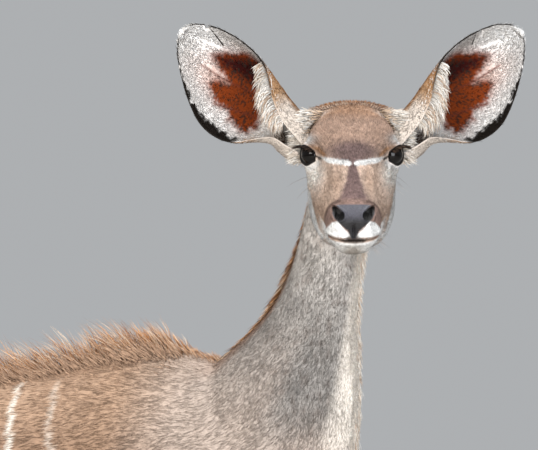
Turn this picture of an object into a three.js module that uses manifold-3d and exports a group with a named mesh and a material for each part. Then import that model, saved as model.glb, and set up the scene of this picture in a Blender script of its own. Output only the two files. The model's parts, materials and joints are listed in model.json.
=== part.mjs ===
// A life-size greater kudu cow, standing alert with her head turned to her right.
// Millimetres, +Z up, the body runs along +X and her right side faces -Y. The feet stand on z = 0.
import * as THREE from 'three';
import { mergeVertices } from 'three/addons/utils/BufferGeometryUtils.js';
import Module from 'manifold-3d';

const wasm = await Module();
wasm.setup();

// Driving dimensions

const withersHeight = 1240; // skin at the top of the shoulders
const originInBody = { x: 56, y: -41 }; // point on the ground below the middle of the whole outline
const partGap = 0.3; // clearance between neighbouring parts
const hoofHeight = 50;
const eyeRadius = 19.5;
const lidThickness = 3;
const headTurn = -68; // degrees from straight ahead, negative to the right
const headDip = 30; // degrees that the face points below the horizon
const eyeLine = { x: 604, y: -108, z: 1535 }; // midpoint between the eyes

const rad = THREE.MathUtils.degToRad;
const vec = (x, y, z) => new THREE.Vector3(x, y, z);
const mix = (a, b, t) => a + (b - a) * t;

// Seeded random numbers, so that every build gives the same animal.
let seed = 20;
function random() {
  seed = (seed * 1664525 + 1013904223) % 4294967296;
  return seed / 4294967296;
}
const vary = (amount) => 1 + amount * (2 * random() - 1);

// Interpolation through hand-set values

// Catmull-Rom through a list of numbers, at a place counted in spans.
function through(values, place) {
  const last = values.length - 1;
  const i = Math.min(Math.floor(place), last - 1);
  const t = place - i;
  const [a, b, c, d] = [i - 1, i, i + 1, i + 2].map((k) => values[Math.max(0, Math.min(last, k))]);
  return b + 0.5 * t * (c - a + t * (2 * a - 5 * b + 4 * c - d + t * (3 * (b - c) + d - a)));
}

// Straight interpolation in a table of [place, value] pairs.
function along(table, place) {
  if (place <= table[0][0]) return table[0][1];
  for (let i = 1; i < table.length; i++) {
    const [p0, v0] = table[i - 1];
    const [p1, v1] = table[i];
    if (place <= p1) return mix(v0, v1, (place - p0) / (p1 - p0));
  }
  return table[table.length - 1][1];
}

// Tubes of changing section

// A station is [x, y, z, side, front, back, frontShape, backShape]: a centre, the half sizes to the side,
// to the front and to the back, and how square each half is (2 is an ellipse, more is squarer).
// face(share) is the direction of the front. A section lies square to limb.along, or else to the path.
function section(limb, place) {
  const value = (k) => through(limb.stations.map((s) => s[k]), place);
  const last = limb.stations.length - 1;
  const centreAt = (p) => vec(...[0, 1, 2].map((k) => through(limb.stations.map((s) => s[k]), p)));
  const before = centreAt(Math.max(0, place - 0.05));
  const after = centreAt(Math.min(last, place + 0.05));
  const tangent = limb.along ? limb.along.clone() : after.sub(before).normalize();
  const front = limb.face(place / last).clone();
  front.addScaledVector(tangent, -front.dot(tangent)).normalize();
  const side = front.clone().cross(tangent).normalize();
  return {
    centre: centreAt(place), tangent, front, side,
    size: { side: value(3), front: value(4), back: value(5) },
    shape: { front: value(6), back: value(7) },
  };
}

// The point of a limb's section at an angle, counted from the side towards the front.
function skinPoint(limb, cut, angle, grow = 0) {
  const [c, s] = [Math.cos(angle), Math.sin(angle)];
  const half = s > 0 ? 'front' : 'back';
  const power = 2 / cut.shape[half];
  const lateral = (cut.size.side + grow) * Math.sign(c) * Math.abs(c) ** power;
  const depth = (cut.size[half] + grow) * Math.sign(s) * Math.abs(s) ** power;
  const point = cut.centre.clone().addScaledVector(cut.side, lateral).addScaledVector(cut.front, depth);
  return limb.swell ? limb.swell(point, cut) : point;
}

// A closed solid of rings joined in order. Each ring has the same number of points, and both ends get a fan.
function solidOfRings(rings) {
  const sides = rings[0].length;
  const points = rings.flat();
  const faces = [];
  const at = (ring, k) => ring * sides + (k % sides);
  for (let r = 0; r + 1 < rings.length; r++) {
    for (let k = 0; k < sides; k++) {
      faces.push([at(r, k), at(r, k + 1), at(r + 1, k + 1)], [at(r, k), at(r + 1, k + 1), at(r + 1, k)]);
    }
  }
  const middle = (ring) => ring.reduce((sum, p) => sum.add(p), vec(0, 0, 0)).divideScalar(sides);
  const ends = [middle(rings[0]), middle(rings[rings.length - 1])];
  points.push(...ends);
  for (let k = 0; k < sides; k++) {
    faces.push([points.length - 2, at(0, k + 1), at(0, k)]);
    faces.push([points.length - 1, at(rings.length - 1, k), at(rings.length - 1, k + 1)]);
  }
  return solidOfFaces(points, faces);
}

// A manifold solid from points and triangles, turned right side out.
function solidOfFaces(points, faces) {
  const build = (list) => new wasm.Manifold(new wasm.Mesh({
    numProp: 3,
    vertProperties: new Float32Array(points.flatMap((p) => [p.x, p.y, p.z])),
    triVerts: new Uint32Array(list.flat()),
  }));
  const made = build(faces);
  return made.volume() > 0 ? made : build(faces.map(([a, b, c]) => [a, c, b]));
}

// Moves each point of a tube outwards from its centre line by the swellings near it. A swelling has a place,
// how far it reaches each way, and its height, and is the same on both sides of the midline.
const swellBy = (swellings) => (point, cut) => {
  const out = point.clone().sub(cut.centre).normalize();
  const heights = swellings.map(({ at, reach, height }) => {
    const away = ((point.x - at[0]) / reach[0]) ** 2 + ((Math.abs(point.y) - at[1]) / reach[1]) ** 2
      + ((point.z - at[2]) / reach[2]) ** 2;
    return height * Math.exp(-away);
  });
  return point.addScaledVector(out, heights.reduce((sum, h) => sum + h, 0));
};

function solidOfGeometry(geometry) {
  const bare = geometry.clone();
  bare.deleteAttribute('normal');
  bare.deleteAttribute('uv');
  const merged = mergeVertices(bare, 1e-3);
  const place = merged.getAttribute('position');
  const points = Array.from({ length: place.count }, (_, i) => vec().fromBufferAttribute(place, i));
  const index = Array.from(merged.index.array);
  const faces = [];
  for (let i = 0; i < index.length; i += 3) faces.push(index.slice(i, i + 3));
  return solidOfFaces(points, faces.filter(([a, b, c]) => a !== b && b !== c && a !== c));
}

function tube(limb, grow = 0) {
  const spans = limb.stations.length - 1;
  const rings = [];
  const count = Math.round(spans * limb.steps);
  for (let i = 0; i <= count; i++) {
    const cut = section(limb, (spans * i) / count);
    const turn = (2 * Math.PI) / limb.sides;
    rings.push(Array.from({ length: limb.sides }, (_, k) => skinPoint(limb, cut, k * turn, grow)));
  }
  return solidOfRings(rings);
}

function ellipsoid(centre, radii, turn, columns = 16, rows = 10) {
  const ball = new THREE.SphereGeometry(1, columns, rows);
  ball.scale(...radii);
  if (turn) ball.applyMatrix4(turn);
  ball.translate(centre.x, centre.y, centre.z);
  return solidOfGeometry(ball);
}

const union = (solids) => solids.reduce((sum, s) => sum.add(s));

function largest(solid) {
  return solid.decompose().sort((a, b) => b.volume() - a.volume())[0];
}

// Everything on the side of a plane that the normal points to, as a very large box.
function halfSpace(point, normal) {
  const reach = 4000;
  const box = new THREE.BoxGeometry(reach, reach, reach);
  box.translate(0, 0, reach / 2);
  box.applyQuaternion(new THREE.Quaternion().setFromUnitVectors(vec(0, 0, 1), normal.clone().normalize()));
  box.translate(point.x, point.y, point.z);
  return solidOfGeometry(box);
}

// Body lines

const upward = () => vec(0, 0, 1);
const forward = () => vec(1, 0, 0);

// The torso from buttocks to breast: x, half width, the heights of the back, the widest line and the belly,
// and how square the section is above and below.
const torsoProfile = [
  [-616, 40, 1060, 1000, 935, 2, 2],
  [-600, 84, 1096, 1000, 890, 2, 2],
  [-560, 128, 1135, 1000, 850, 2, 2],
  [-480, 158, 1174, 1000, 815, 2.1, 2.1],
  [-400, 166, 1191, 998, 792, 2.1, 2.1],
  [-310, 164, 1193, 985, 772, 2, 2.1],
  [-200, 178, 1183, 962, 735, 1.95, 2.2],
  [-80, 196, 1184, 945, 704, 1.9, 2.2],
  [40, 198, 1200, 938, 688, 1.85, 2.15],
  [140, 184, 1222, 940, 684, 1.7, 2.05],
  [225, 166, withersHeight, 948, 690, 1.6, 2],
  [300, 154, 1238, 960, 708, 1.6, 1.95],
  [370, 146, 1218, 975, 740, 1.7, 1.9],
  [440, 132, 1184, 990, 785, 1.8, 1.9],
  [500, 112, 1140, 1000, 838, 1.9, 1.9],
  [540, 88, 1096, 1000, 884, 2, 2],
  [562, 52, 1058, 1000, 930, 2, 2],
];
const torsoSwellings = [
  { at: [-372, 138, 1122], reach: [42, 50, 40], height: 9 }, // hip bone
  { at: [-262, 168, 985], reach: [70, 60, 110], height: -15 }, // hollow of the flank
  { at: [262, 126, 1110], reach: [46, 60, 100], height: 9 }, // shoulder blade
  { at: [150, 172, 1040], reach: [50, 60, 120], height: -6 }, // hollow behind the shoulder
  { at: [430, 122, 1060], reach: [44, 50, 90], height: -8 }, // hollow before the shoulder
  { at: [470, 40, 850], reach: [70, 50, 60], height: 8 }, // breast
];
const torso = {
  stations: torsoProfile.map(([x, width, back, middle, belly, backShape, bellyShape]) =>
    [x, 0, middle, width, back - middle, middle - belly, backShape, bellyShape]),
  face: upward, along: vec(1, 0, 0), swell: swellBy(torsoSwellings), sides: 24, steps: 1.25,
};

// The neck rises from the breast and turns from straight ahead to the way that the head looks.
const neck = {
  stations: [
    [352, 0, 985, 120, 182, 150, 2, 2],
    [412, 0, 1085, 108, 166, 152, 2, 2],
    [456, 0, 1172, 88, 132, 124, 2, 2],
    [487, -1, 1244, 69, 100, 92, 2, 2],
    [507, -4, 1302, 59, 78, 74, 2, 2],
    [523, -9, 1358, 54, 68, 66, 2, 2],
    [540, -15, 1420, 53, 64, 64, 2, 2],
    [556, -20, 1480, 55, 66, 64, 2, 2],
    [568, -27, 1530, 56, 66, 60, 2, 2],
    [576, -40, 1566, 44, 50, 46, 2, 2],
  ],
  face: (share) => {
    const turn = rad(headTurn * THREE.MathUtils.smoothstep(share, 0.15, 0.95));
    return vec(Math.cos(turn), Math.sin(turn), 0);
  },
  sides: 22, steps: 1.5,
};

// Legs: x, distance from the midline, z, half sizes to the side, front and back, all level.
// These are the left ones, and the right ones mirror them.
const foreLegProfile = [
  [245, 60, 1150, 22, 30, 30],
  [262, 84, 1090, 34, 60, 58],
  [290, 102, 1020, 45, 84, 84],
  [318, 111, 950, 50, 96, 98],
  [330, 113, 880, 50, 90, 96],
  [322, 112, 810, 46, 68, 84],
  [312, 109, 745, 40, 46, 62],
  [312, 106, 680, 34, 38, 44],
  [316, 104, 600, 29, 33, 36],
  [321, 102, 520, 26, 29, 30],
  [325, 101, 455, 25, 27, 26],
  [327, 100, 425, 27, 29, 26],
  [327, 100, 395, 26.5, 28, 26],
  [325, 99, 365, 20, 21, 22],
  [322, 98, 290, 16.5, 17, 18.5],
  [320, 97, 190, 16.5, 16.5, 19],
  [321, 96, 140, 20, 19, 22],
  [325, 95, 112, 21.5, 22, 24],
  [335, 95, 84, 19, 19, 19],
  [344, 95, 60, 22, 22, 21],
  [349, 95, 40, 25, 26, 26],
];
const hindLegProfile = [
  [-480, 76, 1120, 36, 78, 76],
  [-462, 100, 1040, 54, 116, 116],
  [-440, 112, 960, 58, 140, 138],
  [-420, 117, 880, 56, 140, 136],
  [-408, 118, 810, 50, 112, 122],
  [-420, 116, 750, 43, 82, 98],
  [-452, 113, 690, 36, 64, 72],
  [-490, 109, 630, 29, 50, 58],
  [-530, 105, 570, 24, 40, 50],
  [-556, 102, 520, 22, 33, 46],
  [-570, 100, 485, 22, 31, 38],
  [-572, 99, 445, 21, 29, 27],
  [-567, 98, 400, 18, 22, 22],
  [-557, 98, 300, 15.5, 18, 19],
  [-547, 97, 190, 16, 17.5, 20],
  [-543, 97, 140, 20, 20, 23],
  [-538, 97, 112, 21.5, 22.5, 24.5],
  [-528, 97, 84, 19, 19, 19],
  [-519, 97, 60, 22, 22, 21],
  [-513, 97, 40, 25, 26, 26],
];
// How far each foot is set ahead of the square stance, so that she stands naturally.
const legs = [
  { name: 'front_left', profile: foreLegProfile, side: 1, stride: -16 },
  { name: 'front_right', profile: foreLegProfile, side: -1, stride: 22 },
  { name: 'hind_left', profile: hindLegProfile, side: 1, stride: 30 },
  { name: 'hind_right', profile: hindLegProfile, side: -1, stride: -34 },
];

// A leg swings from its top, so the stride grows towards the foot.
const swingTop = 900;
const swing = (stride, z) => stride * THREE.MathUtils.clamp((swingTop - z) / swingTop, 0, 1);
function legLimb({ profile, side, stride }) {
  return {
    stations: profile.map(([x, y, z, w, f, b]) => [x + swing(stride, z), side * y, z, w, f, b, 2, 2]),
    face: forward, along: vec(0, 0, -1), sides: 12, steps: 1,
  };
}
const footOf = ({ profile, side, stride }) => {
  const [x, y, z] = profile[profile.length - 1];
  return { x: x + swing(stride, z), y: side * y };
};

// Locks of long hair

// A flat lock that leaves the skin along `rise` and bends over to `lie`, with its width in the plane of both.
function lock(root, rise, lie, { length, width, thickness, bend = 0.6, sink = 10 }) {
  const across = rise.clone().cross(lie).normalize();
  const places = [-sink / length, 0.25, 0.55, 0.8, 1];
  const widths = [0.8, 1, 0.9, 0.55, 0.1];
  const stations = places.map((t, i) => {
    const lean = Math.max(0, t) ** 2 * bend;
    const p = root.clone()
      .addScaledVector(rise, length * t * (1 - 0.4 * lean))
      .addScaledVector(lie, length * lean);
    const thin = Math.max((thickness / 2) * widths[i], 0.4);
    return [p.x, p.y, p.z, (width / 2) * widths[i], thin, thin, 1.3, 1.3];
  });
  return tube({ stations, face: () => across, sides: 4, steps: 1 });
}

// Mane heights along the back line: the place on the limb in spans, and the hair's length.
const neckMane = [[2.2, 22], [2.9, 12], [4, 13], [6, 16], [8.6, 13]];
const backMane = [
  [3, 14], [5, 26], [6.6, 42], [8, 55], [9.5, 61], [10.5, 61], [10.85, 48], [11.1, 15], [11.6, 12],
];

// Locks in rows along the midline of a limb. `angle` is where the midline lies in its sections.
function mane(limb, table, { angle, spacing, rows, width, thickness }) {
  const locks = [];
  const [start, end] = [table[0][0], table[table.length - 1][0]];
  let place = start;
  let count = 0;
  while (place < end) {
    const cut = section(limb, place);
    const midline = skinPoint(limb, cut, angle);
    const out = midline.clone().sub(cut.centre).normalize();
    const length = along(table, place);
    const row = length > 30 ? rows[count % rows.length] : 0;
    const root = midline.clone().addScaledVector(cut.side, row).addScaledVector(out, -3);
    const lie = cut.tangent.clone().negate();
    const slope = Math.max(0, 1 - length / 45) * 1.6; // short hair lies flatter
    const rise = out.clone().addScaledVector(cut.side, row * 0.02).addScaledVector(lie, slope).normalize();
    const grown = length * Math.hypot(1, slope) * vary(0.14);
    const broad = mix(13, width, Math.min(1, length / 50)) * vary(0.12);
    locks.push(lock(root, rise, lie, { length: grown, width: broad, thickness, bend: 0.5, sink: 9 }));
    const stretch = section(limb, Math.min(place + 0.01, end)).centre.distanceTo(cut.centre) / 0.01;
    place += (spacing * vary(0.15)) / stretch;
    count++;
  }
  return locks;
}

// The tail hangs from the rump, with long hair down both edges and a full tip.
const tail = {
  stations: [
    [-560, 0, 1098, 24, 20, 20, 2, 2],
    [-604, 0, 1092, 25, 18, 18, 2, 2],
    [-634, 0, 1050, 23, 15, 15, 2, 2],
    [-646, 0, 980, 22, 13, 13, 2, 2],
    [-650, 0, 900, 19, 11, 11, 2, 2],
    [-648, 0, 820, 14, 9, 9, 2, 2],
    [-646, 0, 760, 8, 6, 6, 2, 2],
  ],
  face: (share) => vec(-mix(0.3, 1, Math.min(1, share * 3)), 0, mix(1, 0, Math.min(1, share * 3))),
  sides: 8, steps: 1.5,
};
const tailHair = { first: 1.8, last: 5.7, rows: 6, length: 100, tipLength: 120 };

function tailLocks() {
  const locks = [];
  for (let i = 0; i < tailHair.rows; i++) {
    const share = i / (tailHair.rows - 1);
    const cut = section(tail, mix(tailHair.first, tailHair.last, share));
    const length = mix(tailHair.length, tailHair.tipLength, share);
    for (const angle of i % 2 ? [0.1, Math.PI / 2, Math.PI - 0.1] : [0.8, Math.PI - 0.8, -Math.PI / 2]) {
      const root = skinPoint(tail, cut, angle);
      const out = root.clone().sub(cut.centre).normalize();
      const rise = out.clone().multiplyScalar(0.26).add(cut.tangent).normalize();
      const flat = out.clone().cross(cut.tangent).add(rise);
      const size = { length: length * vary(0.1), width: 24, thickness: 9, bend: 0.08, sink: 8 };
      locks.push(lock(root.addScaledVector(rise, -4), rise, flat, size));
    }
  }
  return locks;
}

// Head

// The head's own frame: +X runs from the poll to the nose, +Y to her left, +Z out of the forehead.
const headFrame = new THREE.Matrix4()
  .makeTranslation(eyeLine.x, eyeLine.y, eyeLine.z)
  .multiply(new THREE.Matrix4().makeRotationZ(rad(headTurn)))
  .multiply(new THREE.Matrix4().makeRotationY(rad(headDip)));
// The same place, level: +X the way she looks, +Y to her left, +Z up.
const faceFrame = new THREE.Matrix4()
  .makeTranslation(eyeLine.x, eyeLine.y, eyeLine.z)
  .multiply(new THREE.Matrix4().makeRotationZ(rad(headTurn)));

// From poll to nose: distance ahead of the eyes, half width, the heights of the forehead, the widest line and
// the jaw, and how square the section is above and below.
const headProfile = [
  [-128, 26, 2, -28, -60, 2, 2],
  [-118, 45, 22, -28, -80, 2.1, 2.2],
  [-92, 59, 42, -26, -100, 2.2, 2.6],
  [-60, 65, 52, -22, -108, 2.3, 2.9],
  [-28, 67, 56, -20, -110, 2.4, 3],
  [4, 66, 55, -20, -108, 2.4, 3],
  [34, 63, 52, -26, -106, 2.2, 3.1],
  [66, 57, 46, -32, -101, 2.1, 3],
  [98, 49, 40, -34, -94, 2.1, 2.8],
  [130, 42, 34, -30, -85, 2.1, 2.4],
  [158, 40, 30, -24, -76, 2.2, 2.2],
  [180, 39, 26, -22, -68, 2.3, 2.2],
  [196, 35, 18, -20, -58, 2.4, 2.3],
  [206, 24, 6, -20, -42, 2.2, 2.2],
];
const faceSwellings = [
  { at: [-4, 58, 32], reach: [25, 24, 16], height: 10 }, // brow
  { at: [-12, 66, -24], reach: [34, 24, 15], height: 8 }, // cheekbone
  { at: [-38, 66, 4], reach: [20, 24, 24], height: 5 }, // behind the eye
  { at: [46, 54, 4], reach: [28, 26, 24], height: -11 }, // hollow before the eye
  { at: [10, 58, -84], reach: [60, 26, 26], height: 6 }, // jaw muscle
  { at: [184, 30, -22], reach: [22, 22, 16], height: 3 }, // upper lip
  { at: [176, 6, -60], reach: [24, 30, 12], height: 3 }, // chin
  { at: [-76, 52, 22], reach: [26, 24, 26], height: 11 }, // root of the ear
  { at: [150, 0, 30], reach: [40, 10, 14], height: 2 }, // ridge of the nose
];
const skull = {
  stations: headProfile.map(([x, width, top, middle, jaw, topShape, jawShape]) =>
    [x, 0, middle, width, top - middle, middle - jaw, topShape, jawShape]),
  face: upward, along: vec(1, 0, 0), swell: swellBy(faceSwellings), sides: 26, steps: 2,
};

const eyeCentre = { ahead: -6, side: 57, up: 1 }; // in the level frame
const gaze = { ahead: 0.62, side: 0.77, up: 0.08 };
const lidOpening = { halfLength: 18, halfHeight: 14, tilt: -16 };

function eyePlace(side) {
  return vec(eyeCentre.ahead, side * eyeCentre.side, eyeCentre.up);
}

// Turns a shape that points along +Z to look the way of the eye, with +X level.
function gazeTurn(side) {
  const out = vec(gaze.ahead, side * gaze.side, gaze.up).normalize();
  const level = vec(0, 0, 1).cross(out).normalize();
  return new THREE.Matrix4().makeBasis(level, out.clone().cross(level), out);
}

// The almond between the lids, as a prism along the gaze.
function lidGap(side) {
  const { halfLength, halfHeight, tilt } = lidOpening;
  const almond = new THREE.Shape();
  almond.moveTo(-halfLength, 0);
  almond.quadraticCurveTo(-halfLength * 0.62, halfHeight * 1.12, 0, halfHeight);
  almond.quadraticCurveTo(halfLength * 0.62, halfHeight * 1.12, halfLength, 0);
  almond.quadraticCurveTo(0, -halfHeight * 2, -halfLength, 0);
  const prism = new THREE.ExtrudeGeometry(almond, { depth: 60, bevelEnabled: false, curveSegments: 5 });
  prism.applyMatrix4(new THREE.Matrix4().makeRotationZ(rad(side * tilt)));
  prism.applyMatrix4(gazeTurn(side));
  const at = eyePlace(side);
  prism.translate(at.x, at.y, at.z);
  return solidOfGeometry(prism).transform(faceFrame.elements);
}

function ball(side, radius) {
  const round = ellipsoid(eyePlace(side), [radius, radius, radius], gazeTurn(side), 14, 9);
  return round.transform(faceFrame.elements);
}

// Nostrils: commas that start high at the outside and run down to the middle, cut into the nose.
const nostril = { ahead: 200, side: 19, up: 8, long: 12, wide: 6, deep: 15, slant: 40 };
function nostrilPit(side) {
  const turn = new THREE.Matrix4().makeRotationX(rad(side * nostril.slant));
  const at = vec(nostril.ahead, side * nostril.side, nostril.up);
  return ellipsoid(at, [nostril.deep, nostril.long, nostril.wide], turn, 12, 8);
}

// The mouth: a thin bent slab through the muzzle, less a core, so that only a groove is left.
const mouth = { corner: 112, cornerUp: -50, front: 214, frontUp: -27, dip: 0, height: 2.4, depth: 6 };
function mouthGroove() {
  const line = new THREE.QuadraticBezierCurve(
    new THREE.Vector2(mouth.corner, mouth.cornerUp),
    new THREE.Vector2(mix(mouth.corner, mouth.front, 0.55), mouth.cornerUp + mouth.dip),
    new THREE.Vector2(mouth.front, mouth.frontUp),
  ).getPoints(8);
  const raised = (dz) => line.map((p) => new THREE.Vector2(p.x, p.y + dz));
  const outline = [...raised(-mouth.height / 2), ...raised(mouth.height / 2).reverse()];
  const slab = new THREE.ExtrudeGeometry(new THREE.Shape(outline), { depth: 140, bevelEnabled: false });
  slab.translate(0, 0, -70);
  slab.rotateX(Math.PI / 2);
  const core = { ...skull, swell: null, sides: 14, steps: 1 };
  return solidOfGeometry(slab).subtract(tube(core, -mouth.depth));
}

// Ears

// An ear is a trough round its own axis. Along it, from inside the head to the tip, are: distance,
// half widths to the inner and outer edge, how far round each edge curls in degrees, and the trough's depth.
const earProfile = [
  [-46, 30, 31, 172, 165, 30],
  [-22, 34, 33, 168, 156, 33],
  [0, 35, 33, 163, 146, 35],
  [20, 37, 47, 152, 122, 39],
  [40, 40, 67, 138, 103, 44],
  [60, 44, 80, 119, 92, 49],
  [84, 49, 87, 99, 84, 52],
  [108, 52, 87, 84, 78, 53],
  [132, 51, 80, 74, 71, 50],
  [156, 47, 69, 67, 64, 45],
  [180, 40, 54, 60, 58, 38],
  [200, 31, 38, 54, 54, 29],
  [213, 20, 22, 48, 48, 19],
  [220, 8, 8, 42, 42, 9],
];
const ear = {
  root: vec(-52, 100, 41), // in the level frame, for the left ear
  axis: vec(-0.17, 0.717, 0.676).normalize(),
  opening: vec(0.97, 0.06, -0.2),
  thickness: 5, rim: 1.6, columns: 12,
};

function earShell(side) {
  const flip = (v) => vec(v.x, side * v.y, v.z);
  const axis = flip(ear.axis);
  const toCamera = flip(ear.opening).addScaledVector(axis, -flip(ear.opening).dot(axis)).normalize();
  const inner = axis.clone().cross(toCamera).multiplyScalar(-side).normalize();
  const spans = earProfile.length - 1;
  const column = (k) => earProfile.map((row) => row[k]);
  const rows = [];
  for (let i = 0; i <= spans; i++) {
    const [s, inW, outW, inCurl, outCurl, deep] = [0, 1, 2, 3, 4, 5].map((k) => through(column(k), i));
    const centre = flip(ear.root).addScaledVector(axis, s);
    const halfIn = inCurl > 90 ? inW : inW / Math.sin(rad(inCurl));
    const halfOut = outCurl > 90 ? outW : outW / Math.sin(rad(outCurl));
    const wall = (thin) => Array.from({ length: ear.columns + 1 }, (_, k) => {
      const turn = rad(mix(-outCurl, inCurl, k / ear.columns));
      const half = (turn > 0 ? halfIn : halfOut) - thin;
      return centre.clone()
        .addScaledVector(inner, half * Math.sin(turn))
        .addScaledVector(toCamera, -(deep - thin) * Math.cos(turn));
    });
    const share = THREE.MathUtils.clamp(s / 220, 0, 1);
    rows.push({ outer: wall(0), inner: wall(mix(ear.thickness, ear.rim, share)) });
  }
  const rings = rows.map((row) => [...row.outer, ...row.inner.slice().reverse()]);
  return { solid: solidOfLoops(rings, ear.columns + 1), axis, toCamera, inner };
}

// Rings that each go out along an outer wall and back along an inner one. Both ends are closed between the walls.
function solidOfLoops(rings, wallPoints) {
  const sides = rings[0].length;
  const faces = [];
  const at = (ring, k) => ring * sides + (k % sides);
  for (let r = 0; r + 1 < rings.length; r++) {
    for (let k = 0; k < sides; k++) {
      faces.push([at(r, k), at(r, k + 1), at(r + 1, k + 1)], [at(r, k), at(r + 1, k + 1), at(r + 1, k)]);
    }
  }
  const end = rings.length - 1;
  for (let k = 0; k + 1 < wallPoints; k++) {
    const across = sides - 1 - k;
    faces.push([at(0, k), at(0, across), at(0, across - 1)]);
    faces.push([at(0, k), at(0, across - 1), at(0, k + 1)]);
    faces.push([at(end, k), at(end, across - 1), at(end, across)]);
    faces.push([at(end, k), at(end, k + 1), at(end, across - 1)]);
  }
  return solidOfFaces(rings.flat(), faces);
}

// Old tears in the inner edge, one in each ear: distance along the ear, width, depth and lean.
const tears = {
  right: { at: 186, wide: 8, deep: 27, lean: 12 },
  left: { at: 176, wide: 5, deep: 13, lean: 4 },
};

function tearWedge(shape, side) {
  const { at, wide, deep, lean } = side > 0 ? tears.left : tears.right;
  const outside = 60;
  const wedge = new THREE.Shape([
    new THREE.Vector2(-wide / 2, outside),
    new THREE.Vector2(wide / 2, outside),
    new THREE.Vector2(-lean, outside - 22 - deep),
  ]);
  const prism = new THREE.ExtrudeGeometry(wedge, { depth: 160, bevelEnabled: false });
  prism.translate(at, 0, -80);
  const through = shape.axis.clone().cross(shape.inner);
  prism.applyMatrix4(new THREE.Matrix4().makeBasis(shape.axis, shape.inner, through));
  const root = vec(ear.root.x, side * ear.root.y, ear.root.z);
  prism.translate(root.x, root.y, root.z);
  return solidOfGeometry(prism);
}

// Long hair that grows from the inner edge of the ear across its mouth.
const earFringe = { first: 8, last: 84, count: 6, length: 38, width: 19 };
function fringeLocks(shape, side) {
  const column = (k) => earProfile.map((row) => row[k]);
  const distances = column(0);
  const locks = [];
  for (let i = 0; i < earFringe.count; i++) {
    const s = mix(earFringe.first, earFringe.last, i / (earFringe.count - 1));
    const row = distances.findIndex((d) => d > s) - 1;
    const place = row + (s - distances[row]) / (distances[row + 1] - distances[row]);
    const curl = rad(through(column(3), place) - 6);
    const half = through(column(1), place) - 3;
    const deep = through(column(5), place) - 3;
    const root = vec(ear.root.x, side * ear.root.y, ear.root.z)
      .addScaledVector(shape.axis, s)
      .addScaledVector(shape.inner, half * Math.sin(curl))
      .addScaledVector(shape.toCamera, -deep * Math.cos(curl));
    const rise = shape.inner.clone().multiplyScalar(-1).addScaledVector(shape.axis, 0.12)
      .addScaledVector(shape.toCamera, -0.1).normalize();
    const lie = shape.axis;
    const length = earFringe.length * vary(0.12);
    locks.push(lock(root, rise, lie, { length, width: earFringe.width, thickness: 3, bend: 0.3, sink: 5 }));
  }
  return locks;
}

// Hooves

const claw = { halfWidth: 14.5, toe: 50, heel: 26, cleft: 3, lean: 12 };

// One claw: a flat sole, a long toe and upright sides, narrower at the top.
function clawSolid(foot, inOut, leg) {
  const y = foot.y + inOut * (claw.halfWidth + claw.cleft / 2);
  const rows = [
    [0, 1, 1], [0.16, 1.03, 1], [0.6, 0.92, 0.8], [1.35, 0.74, 0.48],
  ];
  const stations = rows.map(([up, wide, long]) =>
    [foot.x + 2 - claw.lean * up, y - inOut * 1.2 * up, hoofHeight * up,
      claw.halfWidth * wide, claw.toe * long, claw.heel * mix(1, long, 0.5), 1.7, 2.2]);
  const whole = tube({ stations, face: forward, along: vec(0, 0, 1), sides: 10, steps: 1 });
  return largest(whole.intersect(halfSpace(coronetPoint(leg, -partGap), coronetNormal.clone().negate())));
}

const coronetNormal = vec(-0.16, 0, 1).normalize(); // the hoof's top edge falls towards the heel
const coronetPoint = (leg, lift) => vec(footOf(leg).x, 0, hoofHeight - 3 + lift);

// The dewclaws sit behind the fetlock, at a place counted back from the leg's last station.
const dewClaw = { back: 2.45, behind: 0.86, side: 12, size: [10, 8, 13] };
function dewClawSolid(limb, inOut) {
  const cut = section(limb, limb.stations.length - 1 - dewClaw.back);
  const place = cut.centre.clone().addScaledVector(cut.front, -cut.size.back * dewClaw.behind);
  place.y += inOut * dewClaw.side;
  return largest(ellipsoid(place, dewClaw.size, null, 8, 5).subtract(tube(limb, partGap)));
}

// Assembly

const coat = (color, roughness) => new THREE.MeshStandardMaterial({ color, roughness, metalness: 0 });
const materials = {
  hide: coat(0x9c8570, 0.9),
  neckHide: coat(0xa39a90, 0.9),
  earHide: coat(0xb9a795, 0.9),
  horn: coat(0x2c2622, 0.5),
  eye: coat(0x120c09, 0.08),
  tail: coat(0x8b7058, 0.95),
};

const kudu = new THREE.Group();
kudu.position.set(-originInBody.x, -originInBody.y, 0);

function addNode(name, solid, material) {
  const mesh = largest(solid).getMesh();
  const points = new Float32Array(mesh.numVert * 3);
  for (let i = 0; i < mesh.numVert; i++) {
    points.set(mesh.vertProperties.subarray(i * mesh.numProp, i * mesh.numProp + 3), i * 3);
  }
  const geometry = new THREE.BufferGeometry();
  geometry.setAttribute('position', new THREE.BufferAttribute(points, 3));
  geometry.setIndex(new THREE.BufferAttribute(new Uint32Array(mesh.triVerts), 1));
  geometry.computeVertexNormals();
  const node = new THREE.Mesh(geometry, material);
  node.name = name;
  kudu.add(node);
}

// The flesh is one body that thin cuts part into legs, torso, neck and head.
const limbs = legs.map((leg) => ({ leg, limb: legLimb(leg) }));
const headFlesh = (grow) => union([
  tube(skull, grow).transform(headFrame.elements),
  ...[1, -1].map((side) => ball(side, eyeRadius + lidThickness + grow)),
]);
const body = union([tube(torso), tube(neck), ...limbs.map(({ limb }) => tube(limb))]);

const napeCut = { point: vec(560, -28, 1478), normal: vec(-0.1, -0.42, 0.9) };
const breastCut = { point: vec(345, 0, 1236), normal: vec(0.66, 0, 0.75) };
function above(cut, lift) {
  return halfSpace(cut.point.clone().addScaledVector(cut.normal.clone().normalize(), lift), cut.normal);
}

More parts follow.
